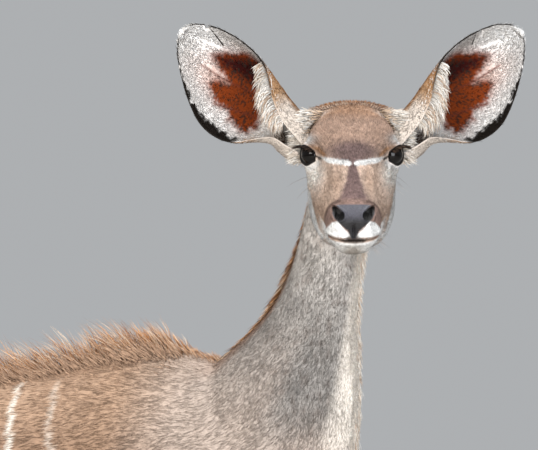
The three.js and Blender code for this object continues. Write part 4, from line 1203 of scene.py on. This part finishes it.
def earBackColour(distance, share, place, rough):
    # tan, golden towards the inner edge, with a rusty line below and paler at the root and the tip
    gold = ramp(share, 0.3, 0.5) * (1 - ramp(share, 0.6, 0.75) * (1 - ramp(distance, 34, 70)))
    gold = gold * ramp(distance, -46, -20) * (1 - ramp(distance, 90, 130)) * (0.85 + 0.3 * rough)
    rust = stroke(place.reshape(-1, 2), earMarks["rust"], 1, 8).reshape(distance.shape)
    return painted(np.tile(earColours["back"], (*distance.shape, 1)), earColours, [
        ("backPale", 1 - ramp(distance, 10, 45)), ("gold", gold), ("gold", (share < -0.5) * 0.5 * rust),
        ("backPale", ramp(distance, 120, 200) * 0.5)])


def earColour(side, distance, share, lateral, lining):
    # the lining or the back, and over it the dark border: broad and ragged outside, a thin line inside
    flat = stacked(distance, lateral, 0)
    rough = noise(flat.reshape(-1, 3), 7, 20).reshape(distance.shape)
    fine = noise(flat.reshape(-1, 3), 2.6, 21).reshape(distance.shape)
    place = flat[..., :2]
    if lining:
        colour = liningColour(side, distance, place, rough, fine)
    else:
        colour = earBackColour(distance, share, place, rough)
    table = np.array(earProfile, float)
    widest = (np.interp(distance, table[:, 0], table[:, k]) for k in (1, 2))
    rim = np.where(share > 0, *widest) - np.abs(lateral)
    broad = np.interp(distance, *earMarks["border"])
    border = 1 - ramp(rim + (4 * rough + 5 * fine) * (broad > 2.5), broad * 0.55, broad + 1)
    return painted(colour, earColours, [
        ("black", border * (share < -0.3) * ramp(distance, 34, 50)),
        ("black", (1 - ramp(rim, 1.2, 2.6)) * (share > 0.7) * ramp(distance, 70, 90)),
        ("black", ramp(share, 0.965, 0.985) * ramp(distance, 30, 60) * 0.8)])


def makeEar(side):
    # rings that run out over the back and home over the lining, closed by a strip at the root and the tip
    distance, share, outer, inner, lateral = earGrid(side)
    rows, columns = distance.shape
    flat = np.concatenate([outer, inner[:, ::-1]], 1).reshape(-1, 3)
    colour = np.concatenate([
        earColour(side, distance, share, lateral, False),
        earColour(side, distance, share, lateral, True)[:, ::-1]], 1).reshape(-1, 3)
    count = 2 * columns
    quads = [ringQuads(rows, count)]
    k = np.arange(columns - 1)
    for first, order in ((0, 1), ((rows - 1) * count, -1)):
        ends = np.stack([first + k, first + count - 1 - k, first + count - 2 - k, first + k + 1], 1)
        quads.append(ends[:, ::order])
    quads = np.concatenate(quads)
    if not facesOut(flat, quads):
        quads = quads[:, ::-1]
    name = "ear_" + sideNames[side]
    piece = makePiece(name + "_shell", flat, [quads], hide, colours=withBareness(colour))
    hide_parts(name)


for side in sideNames:
    makeEar(side)
print("ears")

# Hooves, dewclaws and tail

claw = {"halfWidth": 14.5, "toe": 50, "heel": 26, "cleft": 3, "lean": 12, "height": 50,
        "ahead": 2, "spread": 1.2, "squareness": (1.7, 2.2),
        "rows": [(0, 1, 1), (0.16, 1.03, 1), (0.6, 0.92, 0.8), (1.2, 0.78, 0.56)]}  # height, width, length


def makeHooves():
    # each claw is a short loft: flat sole, long toe, upright walls, narrower at the top. The dewclaws stay
    # as the solids have them, in the same horn
    for name, (profile, side, stride) in legs.items():
        x, y, z = profile[-1][:3]
        x += stride * (swingTop - z) / swingTop + claw["ahead"]
        for place, way in (("inner", -side), ("outer", side)):
            middle = side * y + way * (claw["halfWidth"] + claw["cleft"] / 2)
            stations = [(x - claw["lean"] * up, middle - way * claw["spread"] * up, claw["height"] * up,
                         claw["halfWidth"] * wide, claw["toe"] * deep, claw["heel"] * (1 + deep) / 2,
                         *claw["squareness"])
                        for up, wide, deep in claw["rows"]]
            shape = loft(stations, forward, (0, 0, 1), rings=28, sides=40)
            points, quads, fans = closedTube(shape["points"])
            foot = name + "_" + place
            piece = makePiece("hoof_" + foot + "_horn", points, [quads, fans], horn)
            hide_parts("hoof_" + foot)
            dewclaw = frame["nodes"]["dewclaw_" + foot]
            dewclaw.data.materials.clear()
            dewclaw.data.materials.append(horn)
makeHooves()
tailStations = [  # counted as the neck is, from its root to the end of the flesh
    (-560, 0, 1098, 24, 20, 20, 2, 2), (-604, 0, 1092, 25, 18, 18, 2, 2), (-634, 0, 1050, 23, 15, 15, 2, 2),
    (-646, 0, 980, 22, 13, 13, 2, 2), (-650, 0, 900, 19, 11, 11, 2, 2), (-648, 0, 820, 14, 9, 9, 2, 2),
    (-646, 0, 760, 8, 6, 6, 2, 2),
]
tailColours = {"brown": toLinear("8F6F54"), "white": toLinear("EAE4DA"), "black": toLinear("1D1815")}
tail = {"rings": 70, "sides": 32, "skinIn": 2.0, "hairs": 2600, "hairFrom": 0.3, "hairTo": 5.9,
        "hairLength": ([0, 2, 4, 6], [26, 44, 70, 120])}


def tailFace(share):
    # the top of the tail turns from upwards to straight back as the tail comes down
    t = np.minimum(1, share * 3)
    return unit(stacked(-(0.3 + 0.7 * t), 0, 1 - t))


def tailColour(points, out):
    # brown on the outer face, white on the sides and below, and black at the tip
    return painted(np.tile(tailColours["brown"], (len(points), 1)), tailColours, [
        ("white", ramp(np.abs(out[:, 1]), 0.55, 0.9) * 0.85 + ramp(out[:, 0], 0.1, 0.5)),
        ("black", 1 - ramp(points[:, 2], 700, 760))])


def makeTail():
    # the bare tail, coloured by the way that each place faces
    made = loft(tailStations, tailFace, None, -tail["skinIn"], rings=tail["rings"], sides=tail["sides"])
    points, quads, fans = closedTube(made["points"])
    out = points[:-2] - np.repeat(made["centre"], tail["sides"], axis=0)
    colour = tailColour(points, unit(np.concatenate([out, np.tile((0.0, 0, -1), (2, 1))])))
    piece = makePiece("tail_flesh", points, [quads, fans], hide, colours=withBareness(colour))
    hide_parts("tail")


makeTail()
print("hooves and tail")

# Coat: closed tufts and locks of three-sided section, rooted in the skin and lying the way the coat lies


def scatter(chosen, count, density=None):
    # roots spread by area: a random place between the corners of a random quad
    quads = skin["quads"][chosen]
    corner = skin["points"][quads]
    area = np.linalg.norm(np.cross(corner[:, 2] - corner[:, 0], corner[:, 3] - corner[:, 1]), axis=1)
    if density is not None:
        area = area * density[chosen]
    q = quads[rng.choice(len(quads), count, p=area / area.sum())]
    a, b = rng.random((2, count))
    share = np.stack([(1 - a) * (1 - b), a * (1 - b), a * b, (1 - a) * b], 1)[..., None]
    made = {name: (skin[name][q] * share).sum(1) for name in ("points", "normals", "flow", "weights")}
    made["normals"], made["flow"] = unit(made["normals"]), unit(made["flow"])
    made["part"] = skin["part"][q[:, 0]]
    return made


def unwrapPlace(points, part):
    # each part of the body has its own tile: across it the bearing round the part, up it the way along
    part = np.full(len(points), part)
    x, y, z = points.T
    f, s, u = toFrame(headTurn, points).T
    neckX = np.interp(z, [row[2] for row in neckStations], [row[0] for row in neckStations])
    legX = np.where(x > 0, np.interp(z, [40, 400, 900], [349, 327, 328]),
                    np.interp(z, [40, 400, 640, 900], [-513, -567, -485, -425]))
    bearing = np.select([part == 0, part == 1, part == 2], [
        np.arctan2(z - 980, y), np.arctan2(y + 15, x - neckX), np.arctan2(u + 30, s)],
        np.arctan2(y - np.sign(y) * 100, x - legX)) / (2 * math.pi) + 0.5
    along = np.select([part == 0, part == 1, part == 2], [
        (x + 640) / 1220, (z - 820) / 780, (f + 140) / 360], z / 1200)
    return np.stack([(part % 4 + 0.02 + 0.95 * bearing) / 4,
                     (part // 4 + 0.02 + 0.95 * np.clip(along, 0, 1)) / 2], 1)


def locks(name, path, normal, width, thick, colour, place, material):
    # path holds each lock's middle line. Two corners lie across it and one on top, they narrow as the root
    # of what is left of the lock, and the last place is a point
    count, steps = path.shape[:2]
    along = unit(np.gradient(path, axis=1))
    across = unit(np.cross(np.broadcast_to(normal, (count, 3))[:, None], along))
    top = np.cross(along, across)
    left = (1 - np.linspace(0, 1, steps)[:-1]) ** 0.6
    wide = (width[:, None] * left)[..., None]
    body, over, up = path[:, :-1], across[:, :-1] * wide / 2, top[:, :-1] * wide * thick
    rings = np.stack([body + over, body - over, body + up], 2).reshape(count, -1, 3)
    points = np.concatenate([rings, path[:, -1:]], 1)
    each = points.shape[1]
    first = np.arange(count)[:, None, None] * each
    sides = np.array([(0, 2), (2, 1), (1, 0)])
    k = 3 * np.arange(steps - 2)[:, None]
    walls = np.stack([k + sides[:, 0], k + sides[:, 1], k + 3 + sides[:, 1], k + 3 + sides[:, 0]], -1)
    last = 3 * (steps - 2)
    ends = np.concatenate([[(0, 1, 2)], np.column_stack([sides + last, np.full(3, last + 3)])])
    faces = [(first + ends).reshape(-1, 3)]
    if steps > 2:
        faces.append((first + walls.reshape(-1, 4)).reshape(-1, 4))
    share = np.append(np.repeat(np.linspace(0, 1, steps)[:-1], 3), 1.0)
    paint = np.concatenate([np.repeat(np.clip(colour, 0, 1)[:, None], each, 1),
                            np.tile(share[:, None], (count, 1, 1))], 2)
    patch = patchSize * np.stack([np.tile([0, 1, 0.5], steps)[:each], share], 1)
    makePiece(name, points.reshape(-1, 3), faces, material, colours=paint.reshape(-1, 4),
              uv=(place[:, None] + patch).reshape(-1, 2))


def bentPath(root, way, bend, length, steps):
    # out from the root along the way, pulled towards the bend by the square of the share covered
    t = np.linspace(0, 1, steps)[None, :, None]
    pull = np.broadcast_to(bend, root.shape)[:, None] * t * t
    return root[:, None] + length[:, None, None] * (way[:, None] * t + pull)


def jitter(count, spread):
    # a small random push in every direction
    return rng.normal(0, spread, (count, 3))


patchSize = 0.003  # of the unwrap, for one tuft
tuftSizes = {  # count, length, width, lift in degrees and slot; body, neck and head are for one side
    "coat_body_": (33000, 13.0, 2.0, 11, "hide"), "coat_neck_": (32500, 9.0, 1.45, 11, "neck_hide"),
    "coat_head_": (33000, 5.5, 1.1, 16, "hide"), "coat_fore_legs": (20000, 12.0, 2.5, 10, "hide"),
    "coat_hind_legs": (20500, 14.0, 3.0, 10, "hide"),
}
headTuftSize = ([-110, 0, 120, 190], [1.9, 1.25, 0.9, 0.6])  # the way from poll to nose, and how large


def tufts(name, side, chosen, density=None):
    # a tuft leans along the coat by its lift, and its length, tone and bearing vary a little
    count, length, width, lift, slot = tuftSizes[name]
    made = scatter(chosen, count, density)
    colour, wet = coatColour(made["points"] + 0.35 * length * made["flow"], made["weights"])
    keep = (wet < 0.15) & (colour.sum(1) > 0.06)
    for eyeSide in sideNames:
        angles, far = eyeAngles(eyeSide, made["points"])
        keep &= ~((openingShare(angles) < 1.38) & (far < 40))
    points, normals, flow, part = (made[key][keep] for key in ("points", "normals", "flow", "part"))
    count = len(points)
    onHead = part == 2
    f = toFrame(headTurn, points)[:, 0]
    size = rng.uniform(0.7, 1.25, count) * np.where(onHead, np.interp(f, *headTuftSize), 1)
    size *= 1 + 0.25 * noise(points, 30, 30)
    swirl = np.stack([noise(points, 38, k) for k in (31, 32, 33)], 1) * 0.22
    way = unit(squareTo(flow, normals) + jitter(count, 0.16) + swirl)
    lean = np.tan(np.radians(lift)) * rng.uniform(0.6, 1.4, count)
    way = unit(squareTo(way, normals) + normals * lean[:, None])
    vary = np.where(onHead, 1.0, 0.6)
    tone = np.clip(1 + vary * (rng.normal(0, 0.2, count) + 0.24 * noise(points, 3.3, 34)), 0.6, 1.4)
    root = points - normals * 0.6
    locks(name + side, bentPath(root, way, (0, 0, 0), length * size, 2), normals,
          width * rng.uniform(0.7, 1.2, count), 0.3, colour[keep] * tone[:, None],
          unwrapPlace(root, part), fur)


def makeCoat():
    # each quad grows the tufts of the part that it mostly belongs to, denser on the shoulder and the face
    weight = skin["weights"][skin["quads"]].mean(1)
    centre = skin["points"][skin["quads"]].mean(1)
    most = weight.argmax(1)
    level = toFrame(levelTurn, centre)
    for side, name in sideNames.items():
        hers = (level[:, 1] > 0) == (side > 0)
        tufts("coat_body_", name, (most == 0) & ((centre[:, 1] > 0) == (side > 0)),
              1 + 0.8 * ramp(centre[:, 0], 0, 250))
        tufts("coat_neck_", name, (most == 1) & hers)
        tufts("coat_head_", name, (most == 2) & hers, 1 + 2.0 * ramp(level[:, 0], -20, 20))
    tufts("coat_fore_legs", "", (most == 3) & (centre[:, 0] > 0))
    tufts("coat_hind_legs", "", (most == 3) & (centre[:, 0] < 0))


makeCoat()
print("short coat")

# Long hair: the mane on nape, withers and back, the throat fringe, the crown, the ears' fringes and the tail

maneColours = {name: toLinear(value) for name, value in {
    "root": "8C7366", "middle": "C8B19D", "gold": "C08F64", "dark": "5A483D", "pale": "DDD3C6",
    "rust": "8A5A34",
    "straw": "DCC2A6", "black": "1A1512", "white": "ECE8E2", "grey": "B8B0A9",
}.items()}
mane = {  # the way along the back and the height of the hair, then each pass: count, share, tones
    "heights": [(-560, 8), (-480, 14), (-310, 26), (-180, 46), (-60, 58), (60, 58), (170, 55), (245, 55),
                (272, 46), (288, 28), (302, 12), (330, 8), (346, 15), (362, 8), (420, 8)],
    "mane_under": (3300, 0.7, ("rust", "root", "gold", "dark")),
    "mane_over": (5200, 1.0, ("gold", "straw", "rust", "root", "middle", "gold")),
}
neckHair = {  # count, -1 for nape and 1 for throat, lowest and highest, lengths by height, tones, spread
    "nape_hair": (2600, -1, (1150, 1566),
                  [(1170, 14), (1240, 14), (1300, 15), (1350, 11), (1400, 3), (1560, 2)],
                  ("rust", "gold", "straw", "dark"), 3.2),
    "throat_hair": (1700, 1, (1010, 1470), [(1000, 9), (1200, 8), (1400, 7), (1500, 3)],
                    ("pale", "white", "middle", "pale"), 4.0),
}


def mixed(names, count, spread=0.12):
    # each lock takes one of the named tones, a little darker or lighter
    tones = np.array([maneColours[name] for name in names])[rng.integers(0, len(names), count)]
    return np.clip(tones * rng.normal(1, spread, count)[:, None], 0, 1)


def makeBackMane():
    # hair stands on the spine and leans back; two passes, a dense dark underlayer and a longer pale one
    for name in ("mane_under", "mane_over"):
        count, share, tones = mane[name]
        x = rng.uniform(-560, 420, count * 2)
        height = np.interp(x, *zip(*mane["heights"]))
        keep = rng.random(len(x)) < np.clip(height / 46, 0.35, 1)
        x, height = x[keep][:count], height[keep][:count]
        n = len(x)
        y = rng.normal(0, 1, n) * (5 + 0.27 * height)
        back = np.interp(x, [row[0] for row in torsoProfile], [row[2] for row in torsoProfile])
        root = stacked(x, y, back - 8 - y * y / 110)
        clump = 0.4 * noise(root, 20, 40) + 0.25 * noise(root, 6, 42)
        way = stacked(-0.22 - 0.15 * rng.random(n) + clump, y / 60 + 0.5 * clump, 1)
        way = unit(way + jitter(n, 0.15))
        bend = stacked(-0.3 - 0.25 * rng.random(n), 0.5 * y / 60, -0.12) + jitter(n, 0.06)
        length = share * height * rng.uniform(0.6, 1.15, n) * (1 + 0.22 * noise(root, 13, 41))
        length = length * np.exp(-(y / 17) ** 2) + 9
        low = ramp(np.abs(y), 5, 17)[:, None]
        colour = mixed(tones, n) * (1 - low) + coatColours["back"] * rng.normal(1, 0.14, n)[:, None] * low
        locks(name, bentPath(root, way, bend, length, 4), (1.0, 0.15, 0.2), rng.uniform(1.2, 2.2, n), 0.5,
              colour, unwrapPlace(root, 0), longHair)


def makeNeckHair():
    # a short rusty ridge down the nape, and pale hair down the throat, both rooted where the way out from
    # the neck's middle meets its ellipse
    last = len(neckStations) - 1
    for name, (count, turn, reach, heights, tones, spread) in neckHair.items():
        z = rng.uniform(*reach, count)
        place = np.interp(z, [row[2] for row in neckStations], np.arange(last + 1))
        row = through(neckStations, place)
        tangent = unit(through(neckStations, np.minimum(place + 0.05, last - 0.01))[:, :3] - row[:, :3])
        front = squareTo(neckFace(place / last), tangent)
        side = np.cross(front, tangent)
        y = rng.normal(0, spread, count)
        out = squareTo(throatWay(place / last) * turn, tangent)
        ahead, across = (out * front).sum(1), (out * side).sum(1)
        radius = 1 / np.hypot(ahead / np.where(ahead > 0, row[:, 4], row[:, 5]), across / row[:, 3])
        side = np.cross(out, tangent)
        root = row[:, :3] + out * (radius - 9 - y * y / 120)[:, None] + side * y[:, None]
        length = np.interp(z, *zip(*heights)) * rng.uniform(0.9, 1.7, count) + 7
        way = unit(out * 0.7 - tangent * 0.8 + side * (y / 16)[:, None] + jitter(count, 0.09))
        bend = -tangent * 0.35 + jitter(count, 0.06)
        locks(name, bentPath(root, way, bend, length, 4), out, rng.uniform(1.0, 1.7, count), 0.5,
              mixed(tones, count), unwrapPlace(root, 1), longHair)


def makeCrownHair():
    # a low crest across the poll between the ears, rusty with dark flecks, and pale fluff towards the ears.
    # Its roots are set at the height of the highest point of the skull's loft nearby
    count = 3600
    s = rng.uniform(-76, 76, count)
    ahead = -34 - 40 * rng.random(count) + 20 * ramp(np.abs(s), 44, 60)
    top = skullLoft(-coatDepth["head"], rings=90, sides=120)["points"].reshape(-1, 3)
    level = toFrame(levelTurn, top)
    none = -200.0
    up = np.full(count, none)
    for k in range(0, count, 400):
        gap = np.hypot(level[None, :, 0] - ahead[k:k + 400, None], level[None, :, 1] - s[k:k + 400, None])
        up[k:k + 400] = np.where(gap < 9, level[None, :, 2], none).max(1)
    keep = up > none / 2
    s, ahead, up = s[keep], ahead[keep], up[keep]
    n = len(s)
    root = fromFrame(levelTurn, stacked(ahead, s, up - 3))
    way = stacked(-0.9 + 0.7 * rng.random(n), s / 75, 0.8 - np.abs(s) / 160) + jitter(n, 0.2)
    bend = stacked(-0.5, s / 160, -0.2)
    pale = ramp(np.abs(s), 44, 64)[:, None]
    rear = ramp(-ahead, 34, 50)[:, None]
    colour = mixed(("rust", "rust", "gold", "dark"), n) * rear + mixed(("middle", "root"), n) * (1 - rear)
    colour = colour * (1 - pale) + mixed(("pale", "white"), n) * pale
    length = rng.uniform(5, 11, n) + 6 * ramp(np.abs(s), 44, 70)
    locks("crown_hair", bentPath(root, unit(way) @ levelTurn.T, bend @ levelTurn.T, length, 3),
          levelTurn[:, 0], rng.uniform(0.9, 1.4, n), 0.5, colour, unwrapPlace(root, 2), longHair)


earHair = {"lining": 20500, "coat": 8200, "fringe": 1250, "fluff": 1800, "liningFrom": 8,
           "fringeLength": ([0, 20, 60, 94], [30, 46, 46, 24]), "fluffLength": (13, 23)}


def earPlace(side, distance, share):
    # an unwrap of the ear: its length against the share of its curl, in the tile left free by the body
    return stacked(0.77 + 0.1 * (side > 0) + 0.09 * (share + 1) / 2, 0.52 + 0.45 * (distance + 50) / 280)


def earFrame(side, distance, share, lining):
    # a place on the wall and the ways along it, across it and out of it, from the differences near it
    thin = earThickness(distance, share) if lining else 0 * distance
    here, lateral = earWall(side, distance, share, thin)
    ahead = unit(earWall(side, distance + 1, share, thin)[0] - earWall(side, distance - 1, share, thin)[0])
    over = unit(
        earWall(side, distance, share + 0.01, thin)[0] - earWall(side, distance, share - 0.01, thin)[0])
    normal = np.cross(ahead, over) * (-side if lining else side)
    return here, lateral, ahead, over, unit(normal)


def makeEarCoat(side, lining):
    # short hair on one face of the ear, longer and white towards the rim, thin where the skin shows red
    name = "lining" if lining else "coat"
    count = earHair[name]
    distance, share = rng.uniform(-30, 217, count), rng.uniform(-1, 1, count)
    if lining:
        share = np.abs(share) ** 0.75 * np.sign(share)
    else:
        distance = np.where(rng.random(count) < 0.4, rng.uniform(-42, 48, count), distance)
    here, lateral, ahead, over, normal = earFrame(side, distance, share * 0.985, lining)
    colour = earColour(side, distance, share, lateral, lining)
    edge = np.maximum(ramp(np.abs(share), 0.6, 0.95), ramp(distance, 150, 205))
    low = 1 - ramp(distance, 20, 55)
    size = 3.5 + 6 * edge if lining else 7 - 4 * edge + 8 * low
    keep = (share < 0.7) | (tearGap(side, distance, share) > tears[side]["width"] + 1)
    if lining:
        keep &= rng.random(count) < 0.08 + 0.9 * np.maximum(edge, colour.mean(1) * 1.3)
        keep &= distance > earHair["liningFrom"]
        keep &= lineDistance(np.stack([distance, lateral], 1), tears[side]["slit"]) > 2.2
    way = ahead * 0.85 + over * (np.sign(share) * (0.45 - 0.5 * edge))[:, None]
    lift = 0.17 + 0 * distance if lining else 0.12 + 0.2 * low
    way = unit(unit(way) + normal * lift[:, None] + jitter(count, 0.17))
    tone = rng.normal(1.0, 0.1, count)[:, None]
    path = bentPath(here - normal * 0.3, way, (0, 0, 0), size * rng.uniform(0.7, 1.3, count), 2)
    locks("ear_" + sideNames[side] + "_" + name, path[keep], normal[keep], rng.uniform(0.9, 1.7, keep.sum()),
          0.35, (colour * tone)[keep], earPlace(side, distance, share)[keep], fur)


def makeEarFringe(side):
    # long pale hair combed from the inner edge over the opening
    count = earHair["fringe"]
    distance = rng.uniform(0, 94, count)
    share = 1 - np.abs(rng.normal(0, 0.12, count))
    here = earFrame(side, distance, np.clip(share, 0.3, 0.99), True)[0]
    along, mouth, inner = earAxes(side)
    length = np.interp(distance, *earHair["fringeLength"]) * rng.uniform(0.65, 1.1, count)
    way = -inner * 0.8 + along * 0.35 + mouth * rng.uniform(0.3, 0.8, count)[:, None]
    way = unit(way + jitter(count, 0.1))
    bend = -mouth * 0.42 - along * rng.uniform(0.3, 0.65, count)[:, None] + jitter(count, 0.05)
    here = here + mouth @ levelTurn.T * 5 * (1 - share)[:, None]
    clump = 1 + 0.5 * noise(stacked(distance, 0, 0), 4.5, 60)[:, None]
    strand = mixed(("white", "white", "pale", "middle"), count, 0.1) * clump
    path = bentPath(here, way @ levelTurn.T, bend @ levelTurn.T, length, 5)
    locks("ear_" + sideNames[side] + "_fringe", path, mouth @ levelTurn.T, rng.uniform(1.3, 2.6, count), 0.4,
          strand, earPlace(side, distance, share), longHair)


def makeEarFluff(side):
    # pale fluff from the side of the head over the root of the ear, browner at its inner border
    count = earHair["fluff"]
    ahead = rng.uniform(-54, -22, count)
    up = rng.uniform(-8, 66, count)
    beyond = rng.uniform(-13, 16, count)
    root = fromFrame(levelTurn, stacked(ahead, side * (67 - 12 * ramp(up, 34, 66) + beyond), up))
    strand = mixed(("white", "pale", "white", "pale"), count, 0.08)
    strand += (mixed(("middle", "straw"), count) - strand) * (1 - ramp(beyond, -9, 2))[:, None]
    way = stacked(rng.uniform(0.1, 0.7, count), side, 0.006 * (up - 20))
    way = unit(way + jitter(count, 0.16)) @ levelTurn.T
    path = bentPath(root, way, np.array([-0.25, 0, -0.2]) @ levelTurn.T,
                    rng.uniform(*earHair["fluffLength"], count), 4)
    locks("ear_" + sideNames[side] + "_fluff", path, levelTurn[:, 0], rng.uniform(1.1, 1.9, count), 0.4,
          strand, earPlace(side, up, 0), longHair)


def makeTailHair():
    # locks from all round the tail that hang along it, longest at the tip
    count = tail["hairs"]
    last = len(tailStations) - 1
    place = rng.uniform(tail["hairFrom"], tail["hairTo"], count)
    row = through(tailStations, place)
    tangent = unit(through(tailStations, np.minimum(place + 0.05, last))[:, :3] - row[:, :3])
    front = squareTo(tailFace(place / last), tangent)
    side = np.cross(front, tangent)
    turn = rng.uniform(0, 2 * math.pi, count)
    c, s = np.cos(turn), np.sin(turn)
    out = side * c[:, None] + front * s[:, None]
    root = row[:, :3] + side * (c * (row[:, 3] - 3))[:, None] + front * (s * (row[:, 4] - 3))[:, None]
    length = np.interp(place, *tail["hairLength"]) * rng.uniform(0.75, 1.1, count)
    way = unit(tangent + out * 0.16 + jitter(count, 0.05))
    bend = -out * 0.12 + (0, 0, -0.1) + jitter(count, 0.03)
    path = bentPath(root, way, bend, length, 4)
    colour = tailColour(path[:, 2], out) * rng.normal(1, 0.1, count)[:, None]
    locks("tail_brush", path, out, rng.uniform(2.2, 4.0, count), 0.4, colour,
          stacked(0.95 + 0.04 * turn / 7, 0.1 + 0.35 * place / last), longHair)


lashes = {"count": 150, "length": ([0.25, 0.7, 1], [6, 12, 15])}


def makeLashes(side):
    # lashes on the outer two thirds of the upper lid, thickest and longest towards the outer corner
    margin = lidMargin(400)[:int(400 * lids["upperShare"])]
    count = lashes["count"]
    place = 1 - rng.random(count) ** 1.5 * 0.7
    out = eyeDirection(side, margin[(place * (len(margin) - 1)).astype(int)] + (0, 1.5))
    root = eyePlace(side) + out * (eye["radius"] + 1.5)
    way = unit(stacked(0.55, side * (0.35 + place), 0.32 - 0.5 * (1 - place)) + jitter(count, 0.13))
    bend = np.array([0.0, side * 0.2, -0.32]) @ levelTurn.T
    length = np.interp(place, *lashes["length"]) * rng.uniform(0.8, 1.15, count)
    locks("lashes_" + sideNames[side], bentPath(root, way @ levelTurn.T, bend, length, 5), out,
          rng.uniform(0.7, 1.1, count), 0.6, mixed(("black", "dark", "black"), count),
          earPlace(side, 10 * place, 0), longHair)


whiskers = [(176, 30, -42, 0.9, 22, 12), (160, 30, -70, 0.7, 18, 10), (40, 60, -26, 1.0, 34, 5)]


def makeWhiskers():
    # long thin whiskers beside the lips, on the chin and on the cheeks. Each row above holds a place ahead,
    # out and up in the head's frame, how far they turn out, their length and their number
    rows = []
    for side in sideNames:
        for f, s, u, away, length, n in whiskers:
            for _ in range(n):
                rows.append((f + rng.normal(0, 8), side * (s + rng.normal(0, 2)), u + rng.normal(0, 6),
                             side * away, length * rng.uniform(0.6, 1.1)))
    rows = np.array(rows)
    root = skin["points"][nearestOf(fromFrame(headTurn, rows[:, :3]), skin["points"])]
    n = len(rows)
    way = unit(stacked(0.3, rows[:, 3], -0.25) + jitter(n, 0.18)) @ headTurn.T
    bend = np.array([-0.1, 0.0, -0.35]) @ headTurn.T
    locks("whiskers", bentPath(root, way, bend, rows[:, 4], 7), levelTurn[:, 0], np.full(n, 0.4), 0.8,
          mixed(("dark", "grey", "grey"), n), unwrapPlace(root, 2), longHair)


makeBackMane()
makeNeckHair()
makeCrownHair()
makeTailHair()
makeWhiskers()
for side in sideNames:
    makeEarCoat(side, True)
    makeEarCoat(side, False)
    makeEarFringe(side)
    makeEarFluff(side)
    makeLashes(side)
print("long hair")
